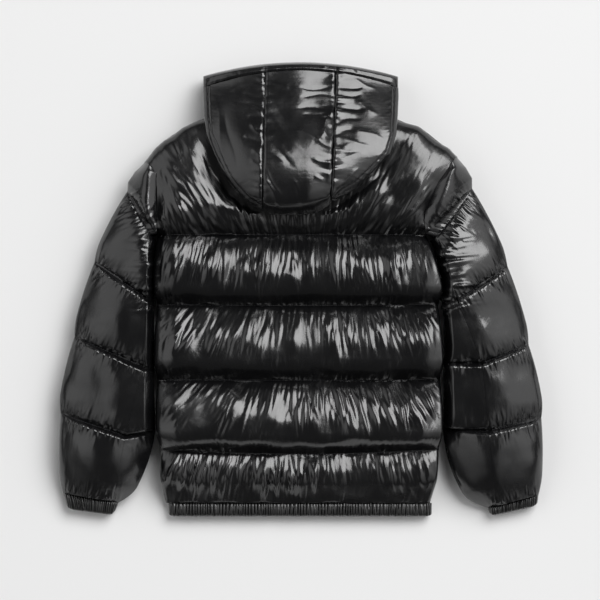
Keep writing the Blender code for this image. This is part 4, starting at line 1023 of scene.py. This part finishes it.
def outline_distance(x, y):
    """Distance inward from the hood's left, right and crown outline."""
    nearest = np.full(np.broadcast(x, y).shape, FAR)
    for word in WORD.values():
        for low, high in zip(HOOD_OUTLINE, HOOD_OUTLINE[1:]):
            low_x = getattr(low, word)
            dx, dy = getattr(high, word) - low_x, high.y - low.y
            share = np.clip(((x - low_x) * dx + (y - low.y) * dy) / (dx * dx + dy * dy), 0.0, 1.0)
            nearest = np.minimum(nearest, np.hypot(x - low_x - dx * share, y - low.y - dy * share))
    first = HOOD_OUTLINE[0]
    between = (x >= first.left) & (x <= first.right)
    return np.maximum(0.0, np.where(between, np.minimum(nearest, y - first.y), nearest))


def hood_fold(y):
    return column(HOOD_LEVELS, y, "fold", 14.0)


def hood_top(x, y):
    """Height of the hood's visible face."""
    fold = hood_fold(y) + RIM
    left, right = hood_sides(y, 6.0)
    ridge = np.clip(HOOD_RIDGE, lerp(left, right, 0.4), lerp(left, right, 0.65))
    away = np.where(x < ridge, (ridge - x) / (ridge - left + 1.0), (x - ridge) / (right - ridge + 1.0))
    sag = np.clip(away, 0.0, 1.0) ** np.where(x < ridge, HOOD_SLACK[-1], HOOD_SLACK[1])
    height = (column(HOOD_LEVELS, y, "crest", 14.0) - fold) * lerp(1.0 - sag, 1.0, HOOD_EDGE_SHARE)
    height = height * roll(outline_distance(x, y), HOOD_EDGE)
    height = height * roll(y - HOOD_OUTLINE[0].y + 3.0, HOOD_ROLL, 0.5)
    seams = [np.abs(x - hood_seam_x(side, y)) / HOOD_SEAM_REACH for side in SIDES]
    dip = (1.0 - np.clip(np.minimum(*seams), 0.0, 1.0)) ** HOOD_SEAM_SHARPNESS
    return fold + height - np.minimum(HOOD_SEAM_DIP * dip, height * 0.6)


def hood_bottom(x, y):
    """Under face of the hood, at rest on the yoke, the shoulders, then the surface."""
    beyond = y - shoulder_y(x)
    level = LAYER_Z + RIM + HOOD_OFF_SHOULDER
    rolled = np.minimum(HOOD_SEAT + SEAM_GAP, level + HOOD_RISE * roll(HOOD_BRIDGE - beyond, TOP_ROLL))
    dropped = level * (1.0 - smooth((beyond - HOOD_CLEAR_OF_SHOULDER) / HOOD_SHOULDER_DROP))
    rest = np.where(beyond <= HOOD_CLEAR_OF_SHOULDER, rolled, dropped)
    fold = hood_fold(y) - RIM
    return np.maximum(rest, fold - (fold - rest) * 1.15 * roll(outline_distance(x, y), HOOD_ROLL * 0.6))


def hood_relief(x, y, random, side):
    """Slack folds, creases that leave the hood's long seams, and gathers at its edge."""
    relief = fold_relief(x, y, HOOD_FOLDS)
    for which in (side,) if side else SIDES:
        seam = [(hood_seam_x(which, at), at) for at in np.linspace(135.0, 380.0, 8)]
        toward = -side if side else which
        gap = np.abs(x - hood_seam_x(which, y))
        relief += HOOD_SEAM_HEIGHT[side, which] * ruched(random, x, y, seam, HOOD_SEAM_GATHERS, toward,
                                                         lambda at: 0.2 * toward, gap)
    if side:
        edge = outline_distance(x, y)
        relief -= HOOD_HEM_DIP * np.exp(-((edge - HOOD_HEM_FROM_EDGE) / HOOD_HEM_WIDTH) ** 2)
        outline = [(getattr(row, WORD[side]), row.y) for row in HOOD_OUTLINE]
        relief += 0.9 * ruched(random, x, y, outline, HOOD_EDGE_GATHERS, side, lambda at: -0.5 * side, edge)
    return relief + 1.2 * swells(x, y, scattered(random, x, y, 24.0), 18.0, 26.0)


def hood_panel(word, side, seed, top, fade, low, inner, cloth):
    """Panel of the hood: a detailed upper face, a plain under face and a slit of padding."""
    relief = hood_relief(top[..., 0], top[..., 1], np.random.default_rng(seed), side) * fade
    outer = np.concatenate((raised(top, relief), low), 1)
    item = padded_wall("hood_panel_" + word, outer, inner, cloth, flip=side < 1)
    lay_cloth(item, outer[..., 1], outer[..., 0], 0.15)
    dress(item, "glossy_nylon", "hood_" + word, fill=0.7)


def hood_faces(x, y, low_x, low_y):
    """Upper face, closed at its fold, and under face."""
    z = hood_top(x, y)
    z[:, -1] = hood_fold(y[:, -1])
    return xyz(x, y, z), xyz(low_x, low_y, hood_bottom(low_x, low_y))


def build_hood_side(side, cloth):
    across = (1.0 - (1.0 - np.linspace(0.0, 1.0, 64)) ** 1.3)[None]
    share = spread(120, 0.3)[:, None]
    base = lerp(HOOD_BAND_Y, HOOD_TIP[side], share)
    bend = np.maximum(0.0, 1.0 - share / 0.35)
    half = SEAM_GAP / 2
    fold_x = column(HOOD_OUTLINE, base, WORD[side])
    seam_x = hood_seam_x(side, base) + side * half
    x = lerp(seam_x, fold_x, across)
    y = base + mouth_arc(x) * bend
    x[:, 0] = hood_seam_x(side, y[:, 0]) + side * half
    fade = smooth(across / 0.03) * smooth((1.0 - across) / 0.12)
    chin = smooth((base + mouth_arc(0.0) * bend - HOOD_CHIN_Y) / 8.0)
    low_x = lerp(lerp(seam_x, side * ZIP_HALF_GAP, chin), fold_x, HOOD_LOW_SHARES)
    low_y = base + mouth_arc(low_x) * bend
    top, low = hood_faces(x, y, low_x, low_y)
    slit_x = lerp(x[:, :1], fold_x, 0.7)
    slit_y = base + mouth_arc(slit_x) * bend
    slit_y = np.concatenate((y[:, :1], slit_y, low_y[:, -1:]), 1)
    slit_x = np.concatenate((x[:, :1], slit_x, low_x[:, -1:]), 1)
    inner = xyz(slit_x, slit_y, hood_fold(slit_y) + half * np.array((1.0, 0.0, -1.0)))
    hood_panel(WORD[side], side, 41 + side, top, fade, low, some_of(inner, 16), cloth)


def crown_edge(x):
    """The crown's fold line, where the outline closes at the hood's low end."""
    heights, lefts, rights = np.array(HOOD_OUTLINE, float).T
    left, right = np.interp(-x, -lefts, heights), np.interp(x, rights, heights)
    return np.where(x < lefts[0], left, np.where(x > rights[0], right, heights[0]))


def build_hood_centre(cloth):
    across = np.linspace(0.0, 1.0, 66)[:, None]
    share = spread(130, 0.35)[None]
    half = SEAM_GAP / 2

    def place(y):
        return lerp(hood_seam_x(-1, y) + half, hood_seam_x(1, y) - half, across)

    crown_y = crown_edge(place(130.0))
    y = lerp(HOOD_BAND_Y + mouth_arc(place(375.0)), crown_y, share)
    fade = smooth(across / 0.03) * smooth((1.0 - across) / 0.03) * smooth((1.0 - share) / 0.1)
    low_y = lerp(HOOD_UNDER_END, crown_y, HOOD_UNDER_SHARES)
    top, low = hood_faces(place(y), y, place(low_y), low_y)
    slit_y = np.concatenate((y[:, :1], np.full_like(crown_y, HOOD_UNDER_END), crown_y + 30.0,
                             low_y[:, -1:]), 1)
    inner = xyz(place(slit_y), slit_y, hood_fold(slit_y) + half * np.array((1.0, 1.0, 0.0, -1.0)))
    hood_panel("centre", 0, 47, top, fade, low, inner[::13], cloth)


def build_hood_band(cloth):
    """Channel round the hood's mouth."""
    left, right = hood_sides(HOOD_MOUTH_Y)
    low_shares = np.linspace(0.0, 0.97, 24)
    top_shares = spread(190, 0.4)[1:-1]
    x = np.concatenate((lerp(-ZIP_HALF_GAP, left, low_shares), (left,), lerp(left, right, top_shares),
                        (right,), lerp(ZIP_HALF_GAP, right, low_shares[::-1])))
    layer = np.repeat((-1, 0, 1, 0, -1), (24, 1, len(top_shares), 1, 24))
    start = HOOD_BAND_Y + mouth_arc(x) + HOOD_BAND_GAP
    within = lerp(left + HOOD_BAND_FOLD, right - HOOD_BAND_FOLD, (x - left) / (right - left))
    outer, inner = [], []
    for step in spread(14, 0.3):
        thickness = np.interp(step, (0.0, 0.25, 0.7, 0.9, 1.0), (1.0, 1.06, 0.95, 0.72, 0.45))
        y = start + (HOOD_BAND_WIDTH - mouth_arc(x) * 0.12) * step
        fold = hood_fold(y)
        upper = fold + (hood_top(x, start) - fold) * thickness
        lower = np.maximum(0.0, fold - (fold - hood_bottom(x, start)) * np.minimum(1.0, thickness * 1.3))
        outer.append(xyz(x, y, np.where(layer > 0, upper, np.where(layer < 0, lower, fold))))
        inner.append(xyz(within, y - mouth_arc(x) + mouth_arc(within), fold + layer * SEAM_GAP / 2))
    outer = np.array(outer)
    spots = scattered(np.random.default_rng(53), x, start - start.min(), 9.0, wander=0.5)
    bumps = 0.45 * gathers(outer[..., 0], outer[..., 1] - start, spots, 4.0, 6.0)
    outer[..., 2] += bumps * (layer > 0) * smooth(np.minimum(x - left, right - x) / 12.0)
    item = padded_wall("hood_channel", outer, np.array(inner)[:: len(inner) - 1, ::3], cloth)
    lay_cloth(item, outer[..., 0], outer[..., 1], 0.5)
    dress(item, "glossy_nylon", "hood_band", fill=0.6)


# ================================================================ stitching and zip
def prisms(name, stacks, material):
    """Object of closed prisms, each from a stack of equal rings of points."""
    points, faces = [], []
    for stack in stacks:
        ring = np.arange(len(points), len(points) + stack[..., 0].size).reshape(stack.shape[:2])
        points += stack.reshape(-1, 3).tolist()
        faces += quads(np.concatenate((ring, ring[:, :1]), 1)).tolist()
        faces += [ring[0, ::-1].tolist(), ring[-1].tolist()]
    return new_object(name, np.array(points), faces, material)


def surface_height(item, x, y):
    """Height of a piece under a point in garment millimetres, or None beside it."""
    start = Vector((x * MM + ORIGIN[0], y * MM + ORIGIN[1], CLEAR_ABOVE))
    hit, place, _, _ = item.ray_cast(start, (0.0, 0.0, -1.0))
    return place.z / MM if hit else None


def stitched_run(points, item, sizes):
    """Stitches along a line on a piece: low arches of thread, as stacks of rings."""
    pitch = (sizes.stitch + sizes.stitch_gap) / MM
    total = run_length(points)[1][-1]
    radius, half = sizes.thread / MM / 2.0, sizes.stitch / MM / 2.0
    turns = np.linspace(0.0, 2.0 * math.pi, 6, endpoint=False)[:, None]
    stacks = []
    for k in range(1, int(total / pitch) - 1):
        here, ahead = (np.array(along(points, (k * pitch + further) / total)) for further in (0.0, 1.0))
        way = (ahead - here) / math.dist(ahead, here)
        heights = [surface_height(item, *(here + way * d)) for d in (-half, 0.0, half)]
        if None in heights:
            continue
        arch = max(heights[1], (heights[0] + heights[2]) / 2.0) + radius
        aside = np.cos(turns) * (-way[1], way[0], 0.0) + np.sin(turns) * (0.0, 0.0, 1.0)
        stacks.append(np.array([
            (*(here + way * d), z) + aside * radius * thick
            for d, z, thick in ((-half, heights[0] - radius, 0.5), (-half * 0.55, arch, 1.0),
                                (half * 0.55, arch, 1.0), (half, heights[2] - radius, 0.5))]))
    return stacks


def build_stitching(sizes, thread):
    """Lockstitch along the quilting lines, sunk in the gathers."""
    stacks = []
    for line in BODY_LINES[1:]:
        places = [(lerp(line.left, line.right, share), line.y + line.sag * math.sin(math.pi * share) + 0.6)
                  for share in np.linspace(0.03, 0.97, 40)]
        stacks += stitched_run(places, bpy.data.objects["back_panel"], sizes)
    for side in SIDES:
        for line in SLEEVES[side][:-1]:
            outer, seam, _ = line_points(line)
            run = [lerp(seam, outer, share) for share in (0.04, 0.9)]
            stacks += stitched_run(run, bpy.data.objects["arm_upper_" + WORD[side]], sizes)
    dress(prisms("quilting_stitches", stacks, thread), "glossy_nylon")


def build_teeth(sizes, plastic):
    """Two rows of moulded teeth that mesh along the middle of the zip."""
    pitch = sizes.tooth_pitch / MM
    low, high = CHAIN_LOW.z / MM, CHAIN_HIGH.z / MM
    levels = ((low, TOOTH_FACE), (low + TOOTH_BEVEL, 1.0), (high - TOOTH_BEVEL, 1.0), (high, TOOTH_FACE))
    across, lengthways = np.array(TOOTH).T * ((1.0,), (TOOTH_WIDTH,))
    stacks = []
    for k in range(int((ZIP_TOP - ZIP_BOTTOM) / pitch) * 2 - 2):
        side = -1 if k % 2 else 1
        y = ZIP_BOTTOM + (k / 2 + 0.75) * pitch
        rings = [xyz(-side * across * shrink, y + lengthways * shrink, z) for z, shrink in levels]
        stacks.append(np.array(rings)[:, ::-side])
    item = prisms("zip_teeth", stacks, plastic)
    for face in item.data.polygons:
        face.use_smooth = False
    dress(item, "zip_teeth", "zip_chain")


# ================================================================ finishes
def plug(tree, item, sockets):
    """Sets sockets of a node, by name or number, to a value or to the socket that feeds them."""
    for key, value in sockets.items():
        if isinstance(value, bpy.types.NodeSocket):
            tree.links.new(value, item.inputs[key])
        else:
            item.inputs[key].default_value = value


def node(tree, kind, sockets=None, **settings):
    """Adds a node with its settings, values and links."""
    item = tree.nodes.new("ShaderNode" + kind)
    for key, value in settings.items():
        setattr(item, key, value)
    plug(tree, item, sockets or {})
    return item


def blank(name):
    """New material, its node tree and its shader."""
    material = bpy.data.materials.new(name)
    material.use_nodes = True
    return material, material.node_tree, material.node_tree.nodes["Principled BSDF"]


def paler(base, ratio):
    return tuple(min(1.0, part * ratio) for part in base[:3]) + (1.0,)


def wet_look_nylon(name, base, crease=0.0009, roughness=(0.15, 0.29)):
    """Downproof nylon taffeta, calendered and coated.

    The hot rollers flatten its threads into a wet-looking skin, so it is almost black where it
    mirrors a dark room and bright where it mirrors a lamp. Every small crease shows.
    """
    material, tree, shader = blank(name)
    way = node(tree, "UVMap", uv_map="gathers").outputs["UV"]
    gathered = node(tree, "Attribute", attribute_name="gathered").outputs["Fac"]
    place = node(tree, "TexCoord").outputs["Object"]
    # Gathers 5 mm apart and about 45 mm long, finer than the cloth's own points can carry.
    stretched = node(tree, "Mapping", {"Vector": way, "Scale": (1 / 0.0052, 1 / 0.045, 1.0)}).outputs[0]
    lines = node(tree, "TexNoise", {"Vector": stretched, "Scale": 1.0, "Detail": 1.5},
                 noise_dimensions="2D").outputs[0]
    centred = node(tree, "Math", {0: lines, 1: 0.5}, operation="SUBTRACT").outputs[0]
    ridges = node(tree, "Math", {0: centred}, operation="ABSOLUTE").outputs[0]
    height = node(tree, "Math", {0: ridges, 1: gathered}, operation="MULTIPLY").outputs[0]
    relief = node(tree, "Bump", {"Height": height, "Distance": crease}).outputs[0]
    # Crushed film: soft dents 14 mm across, all over.
    dents = node(tree, "TexNoise", {"Vector": place, "Scale": 1 / 0.014, "Detail": 3.0}).outputs[0]
    relief = node(tree, "Bump", {"Height": dents, "Distance": 0.0004, "Normal": relief}).outputs[0]
    # Threads of 0.1 mm are too fine to show, so the weave is drawn at 0.7 mm and very shallow.
    weave = node(tree, "TexWave", {"Vector": place, "Scale": 0.5 / 0.0007},
                 bands_direction="DIAGONAL").outputs[0]
    relief = node(tree, "Bump", {"Height": weave, "Distance": 0.000004, "Normal": relief}).outputs[0]
    wear = node(tree, "TexNoise", {"Vector": place, "Scale": 1 / 0.06, "Detail": 4.0}).outputs[0]
    dull = node(tree, "MapRange", {0: wear, 1: 0.35, 2: 0.65, 3: roughness[0], 4: roughness[1]}).outputs[0]
    tint = node(tree, "Mix", {"Factor": wear, 6: base, 7: paler(base, 1.5)}, data_type="RGBA").outputs[2]
    plug(tree, shader, {"Base Color": tint, "Roughness": dull, "Normal": relief,
                        "Coat Weight": 0.35, "Coat Roughness": 0.1})
    return material


def woven_polyester_tape(base):
    """Polyester zip tape, woven in a herringbone: dull, with a faint rib every 0.8 mm."""
    material, tree, shader = blank("woven_polyester_tape")
    place = node(tree, "TexCoord").outputs["Object"]
    warp = node(tree, "TexWave", {"Vector": place, "Scale": 0.5 / 0.0008},
                bands_direction="DIAGONAL").outputs[0]
    weft = node(tree, "TexWave", {"Vector": place, "Scale": 0.5 / 0.0012}, bands_direction="Y").outputs[0]
    cloth = node(tree, "Math", {0: warp, 1: weft}, operation="MULTIPLY").outputs[0]
    relief = node(tree, "Bump", {"Height": cloth, "Distance": 0.00012}).outputs[0]
    tint = node(tree, "Mix", {"Factor": cloth, 6: base, 7: paler(base, 1.8)}, data_type="RGBA").outputs[2]
    plug(tree, shader, {"Base Color": tint, "Roughness": 0.75, "Normal": relief, "Sheen Weight": 0.15})
    return material


def moulded_acetal(base):
    """Injection-moulded acetal teeth: satin, with a faint flow mottling 2 mm across."""
    material, tree, shader = blank("moulded_acetal")
    place = node(tree, "TexCoord").outputs["Object"]
    flow = node(tree, "TexNoise", {"Vector": place, "Scale": 1 / 0.002, "Detail": 3.0}).outputs[0]
    dull = node(tree, "MapRange", {0: flow, 3: 0.3, 4: 0.5}).outputs[0]
    relief = node(tree, "Bump", {"Height": flow, "Distance": 0.00003}).outputs[0]
    plug(tree, shader, {"Base Color": base, "Roughness": dull, "Normal": relief})
    return material


def enamelled_zinc(base):
    """Die-cast zinc under stoved enamel: glossy black with a slight orange peel 1.5 mm across."""
    material, tree, shader = blank("enamelled_zinc")
    place = node(tree, "TexCoord").outputs["Object"]
    peel = node(tree, "TexNoise", {"Vector": place, "Scale": 1 / 0.0015, "Detail": 2.0}).outputs[0]
    dull = node(tree, "MapRange", {0: peel, 3: 0.22, 4: 0.4}).outputs[0]
    relief = node(tree, "Bump", {"Height": peel, "Distance": 0.00004}).outputs[0]
    plug(tree, shader, {"Base Color": base, "Roughness": dull, "Normal": relief,
                        "Coat Weight": 0.6, "Coat Roughness": 0.08})
    return material


def spun_polyester_thread(base):
    """Corespun polyester thread: a soft lustre broken by its twist, 0.6 mm a turn."""
    material, tree, shader = blank("spun_polyester_thread")
    place = node(tree, "TexCoord").outputs["Object"]
    twist = node(tree, "TexWave", {"Vector": place, "Scale": 0.5 / 0.0006},
                 bands_direction="DIAGONAL").outputs[0]
    relief = node(tree, "Bump", {"Height": twist, "Distance": 0.00006}).outputs[0]
    # The base colour is the thread's own grey, made paler than the cloth as a painted highlight along the
    # quilting lines.
    plug(tree, shader, {"Base Color": base, "Roughness": 0.45, "Normal": relief})
    return material


# ================================================================ studio
def area_light(name, place, target, width, height, radiance):
    lamp = bpy.data.lights.new(name, "AREA")
    lamp.shape = "RECTANGLE"
    lamp.size, lamp.size_y = width, height
    lamp.energy = radiance * math.pi * width * height
    item = bpy.data.objects.new(name, lamp)
    item.location = place
    item.rotation_euler = (Vector(target) - Vector(place)).to_track_quat("-Z", "Y").to_euler()
    item.visible_camera = False
    bpy.context.scene.collection.objects.link(item)


def build_room():
    """Dim studio: pale walls left and right, a dark ceiling above the camera."""
    world = bpy.data.worlds.new("studio")
    world.use_nodes = True
    tree = world.node_tree
    way = node(tree, "SeparateXYZ", {0: node(tree, "TexCoord").outputs["Generated"]}).outputs
    across, lengthways, up = (node(tree, "MapRange", {0: part, 1: -1.0, 2: 1.0}).outputs[0] for part in way)
    brightness = []
    for factor, stops in ((across, WALLS), (up, CEILING), (lengthways, END_WALLS), (up, LOW_WALLS)):
        item = node(tree, "ValToRGB", {"Fac": factor})
        band = item.color_ramp.elements
        while len(band) < len(stops):
            band.new(0.5)
        for element, (position, grey) in zip(band, stops):
            element.position = position
            element.color = (grey, grey, grey, 1.0)
        brightness.append(item.outputs[0])
    walls, ceiling, ends, low = brightness
    glow = node(tree, "Math", {0: walls, 1: ceiling}, operation="MULTIPLY").outputs[0]
    glow = node(tree, "Math", {0: glow, 1: ends}, operation="MULTIPLY").outputs[0]
    glow = node(tree, "Math", {0: glow, 1: ROOM_GAIN, 2: ROOM_DIM}, operation="MULTIPLY_ADD").outputs[0]
    glow = node(tree, "Math", {0: glow, 1: low}, operation="MAXIMUM").outputs[0]
    plug(tree, tree.nodes["Background"], {"Color": glow})
    bpy.context.scene.world = world


def build_stage(colours):
    corners = [(x * FLOOR_HALF, y * FLOOR_HALF, 0.0) for x, y in ((-1, -1), (1, -1), (1, 1), (-1, 1))]
    mesh = bpy.data.meshes.new("floor")
    mesh.from_pydata(corners, [], [(0, 1, 2, 3)])
    floor = bpy.data.objects.new("floor", mesh)
    bpy.context.scene.collection.objects.link(floor)
    material, tree, shader = blank("matt_paper")
    plug(tree, shader, {"Base Color": tuple(colours.floor), "Roughness": 0.9})
    mesh.materials.append(material)

    area_light("key", place=(5.7, 7.3, 11.0), target=(0.0, 0.0, 0.05), width=10.5, height=9.2, radiance=7.0)
    build_room()

    camera = bpy.data.objects.new("camera", bpy.data.cameras.new("camera"))
    camera.data.lens = LENS
    camera.data.clip_end = 100.0
    distance = PICTURE / 2 / (HALF_SENSOR / LENS)
    camera.location = (ORIGIN[0], ORIGIN[1] - PICTURE_DOWN, distance + PICTURE_LEVEL)
    bpy.context.scene.collection.objects.link(camera)
    bpy.context.scene.camera = camera
    bpy.context.scene.view_settings.view_transform = "Standard"


# ================================================================ operators
def shell(colours):
    """The glossy cloth, made once for all the panels."""
    name = "wet_look_nylon"
    return bpy.data.materials.get(name) or wet_look_nylon(name, tuple(colours.shell))


def elasticated(colours):
    """The cloth of the gathered bands, made once."""
    name = "ruched_nylon_taffeta"
    return bpy.data.materials.get(name) or wet_look_nylon(
        name, tuple(colours.ruched), crease=0.0007, roughness=(0.22, 0.4))


class JacketPiece:
    """What the operators have in common."""
    bl_options = {"REGISTER", "UNDO"}

    def execute(self, context):
        self.build(context.scene.jacket_sizes, context.scene.jacket_colours)
        return {"FINISHED"}


class JACKET_OT_back(JacketPiece, bpy.types.Operator):
    """Builds the quilted back panel with its gathers"""
    bl_idname = "jacket.back"
    bl_label = "Back"

    def build(self, sizes, colours):
        build_back(sizes, shell(colours))


class JACKET_OT_fronts(JacketPiece, bpy.types.Operator):
    """Builds the two front panels that the jacket lies on"""
    bl_idname = "jacket.fronts"
    bl_label = "Fronts"

    def build(self, sizes, colours):
        for side in SIDES:
            build_front(side, shell(colours))


class JACKET_OT_sleeves(JacketPiece, bpy.types.Operator):
    """Builds both sleeves, each from an upper and an under piece"""
    bl_idname = "jacket.sleeves"
    bl_label = "Sleeves"

    def build(self, sizes, colours):
        for side in SIDES:
            build_sleeve(side, sizes, shell(colours))


class JACKET_OT_bands(JacketPiece, bpy.types.Operator):
    """Builds the elasticated cuffs and hem band"""
    bl_idname = "jacket.bands"
    bl_label = "Cuffs and Hem Band"

    def build(self, sizes, colours):
        for side in SIDES:
            build_cuff(side, sizes.cuff_ribs, elasticated(colours))
        build_hem(sizes.hem_ribs, elasticated(colours))


class JACKET_OT_hood(JacketPiece, bpy.types.Operator):
    """Builds the hood's three panels and the channel round its mouth"""
    bl_idname = "jacket.hood"
    bl_label = "Hood"

    def build(self, sizes, colours):
        for side in SIDES:
            build_hood_side(side, shell(colours))
        build_hood_centre(shell(colours))
        build_hood_band(shell(colours))


class JACKET_OT_stitching(JacketPiece, bpy.types.Operator):
    """Sews the quilting lines with thread"""
    bl_idname = "jacket.stitching"
    bl_label = "Stitching"

    def build(self, sizes, colours):
        build_stitching(sizes, spun_polyester_thread(tuple(colours.thread)))


class JACKET_OT_zip(JacketPiece, bpy.types.Operator):
    """Builds the zip's teeth and finishes its tapes, slider and pull tab"""
    bl_idname = "jacket.zip"
    bl_label = "Zip"

    def build(self, sizes, colours):
        build_teeth(sizes, moulded_acetal(tuple(colours.teeth)))
        tape = woven_polyester_tape(tuple(colours.tape))
        metal = enamelled_zinc(tuple(colours.metal))
        for name, finished in (("zip_tape_left", tape), ("zip_tape_right", tape), ("zip_slider", metal),
                               ("zip_pull", metal)):
            for place in frame["nodes"][name].material_slots:
                place.material = finished


class JACKET_OT_stage(JacketPiece, bpy.types.Operator):
    """Lays the paper floor and sets up the lamp, the room and the camera"""
    bl_idname = "jacket.stage"
    bl_label = "Stage"

    def build(self, sizes, colours):
        build_stage(colours)


OPERATORS = (JACKET_OT_back, JACKET_OT_fronts, JACKET_OT_sleeves, JACKET_OT_bands, JACKET_OT_hood,
             JACKET_OT_stitching, JACKET_OT_zip, JACKET_OT_stage)


class JACKET_PT_looks(bpy.types.Panel):
    """Lists the jacket's pieces, sizes and colours"""
    bl_idname = "JACKET_PT_looks"
    bl_label = "Puffer Jacket"
    bl_space_type = "VIEW_3D"
    bl_region_type = "UI"
    bl_category = "Jacket"

    def draw(self, context):
        for operator in OPERATORS:
            self.layout.operator(operator.bl_idname)
        for group in (context.scene.jacket_sizes, context.scene.jacket_colours):
            box = self.layout.box()
            for key in type(group).__annotations__:
                box.prop(group, key)


CLASSES = (JacketSizes, JacketColours) + OPERATORS + (JACKET_PT_looks,)


def register():
    for item in CLASSES:
        bpy.utils.register_class(item)
    bpy.types.Scene.jacket_sizes = PointerProperty(type=JacketSizes)
    bpy.types.Scene.jacket_colours = PointerProperty(type=JacketColours)


def unregister():
    del bpy.types.Scene.jacket_sizes
    del bpy.types.Scene.jacket_colours
    for item in reversed(CLASSES):
        bpy.utils.unregister_class(item)


def main():
    register()
    for operator in OPERATORS:
        group, name = operator.bl_idname.split(".")
        getattr(getattr(bpy.ops, group), name)()


if __name__ == "__main__":
    main()
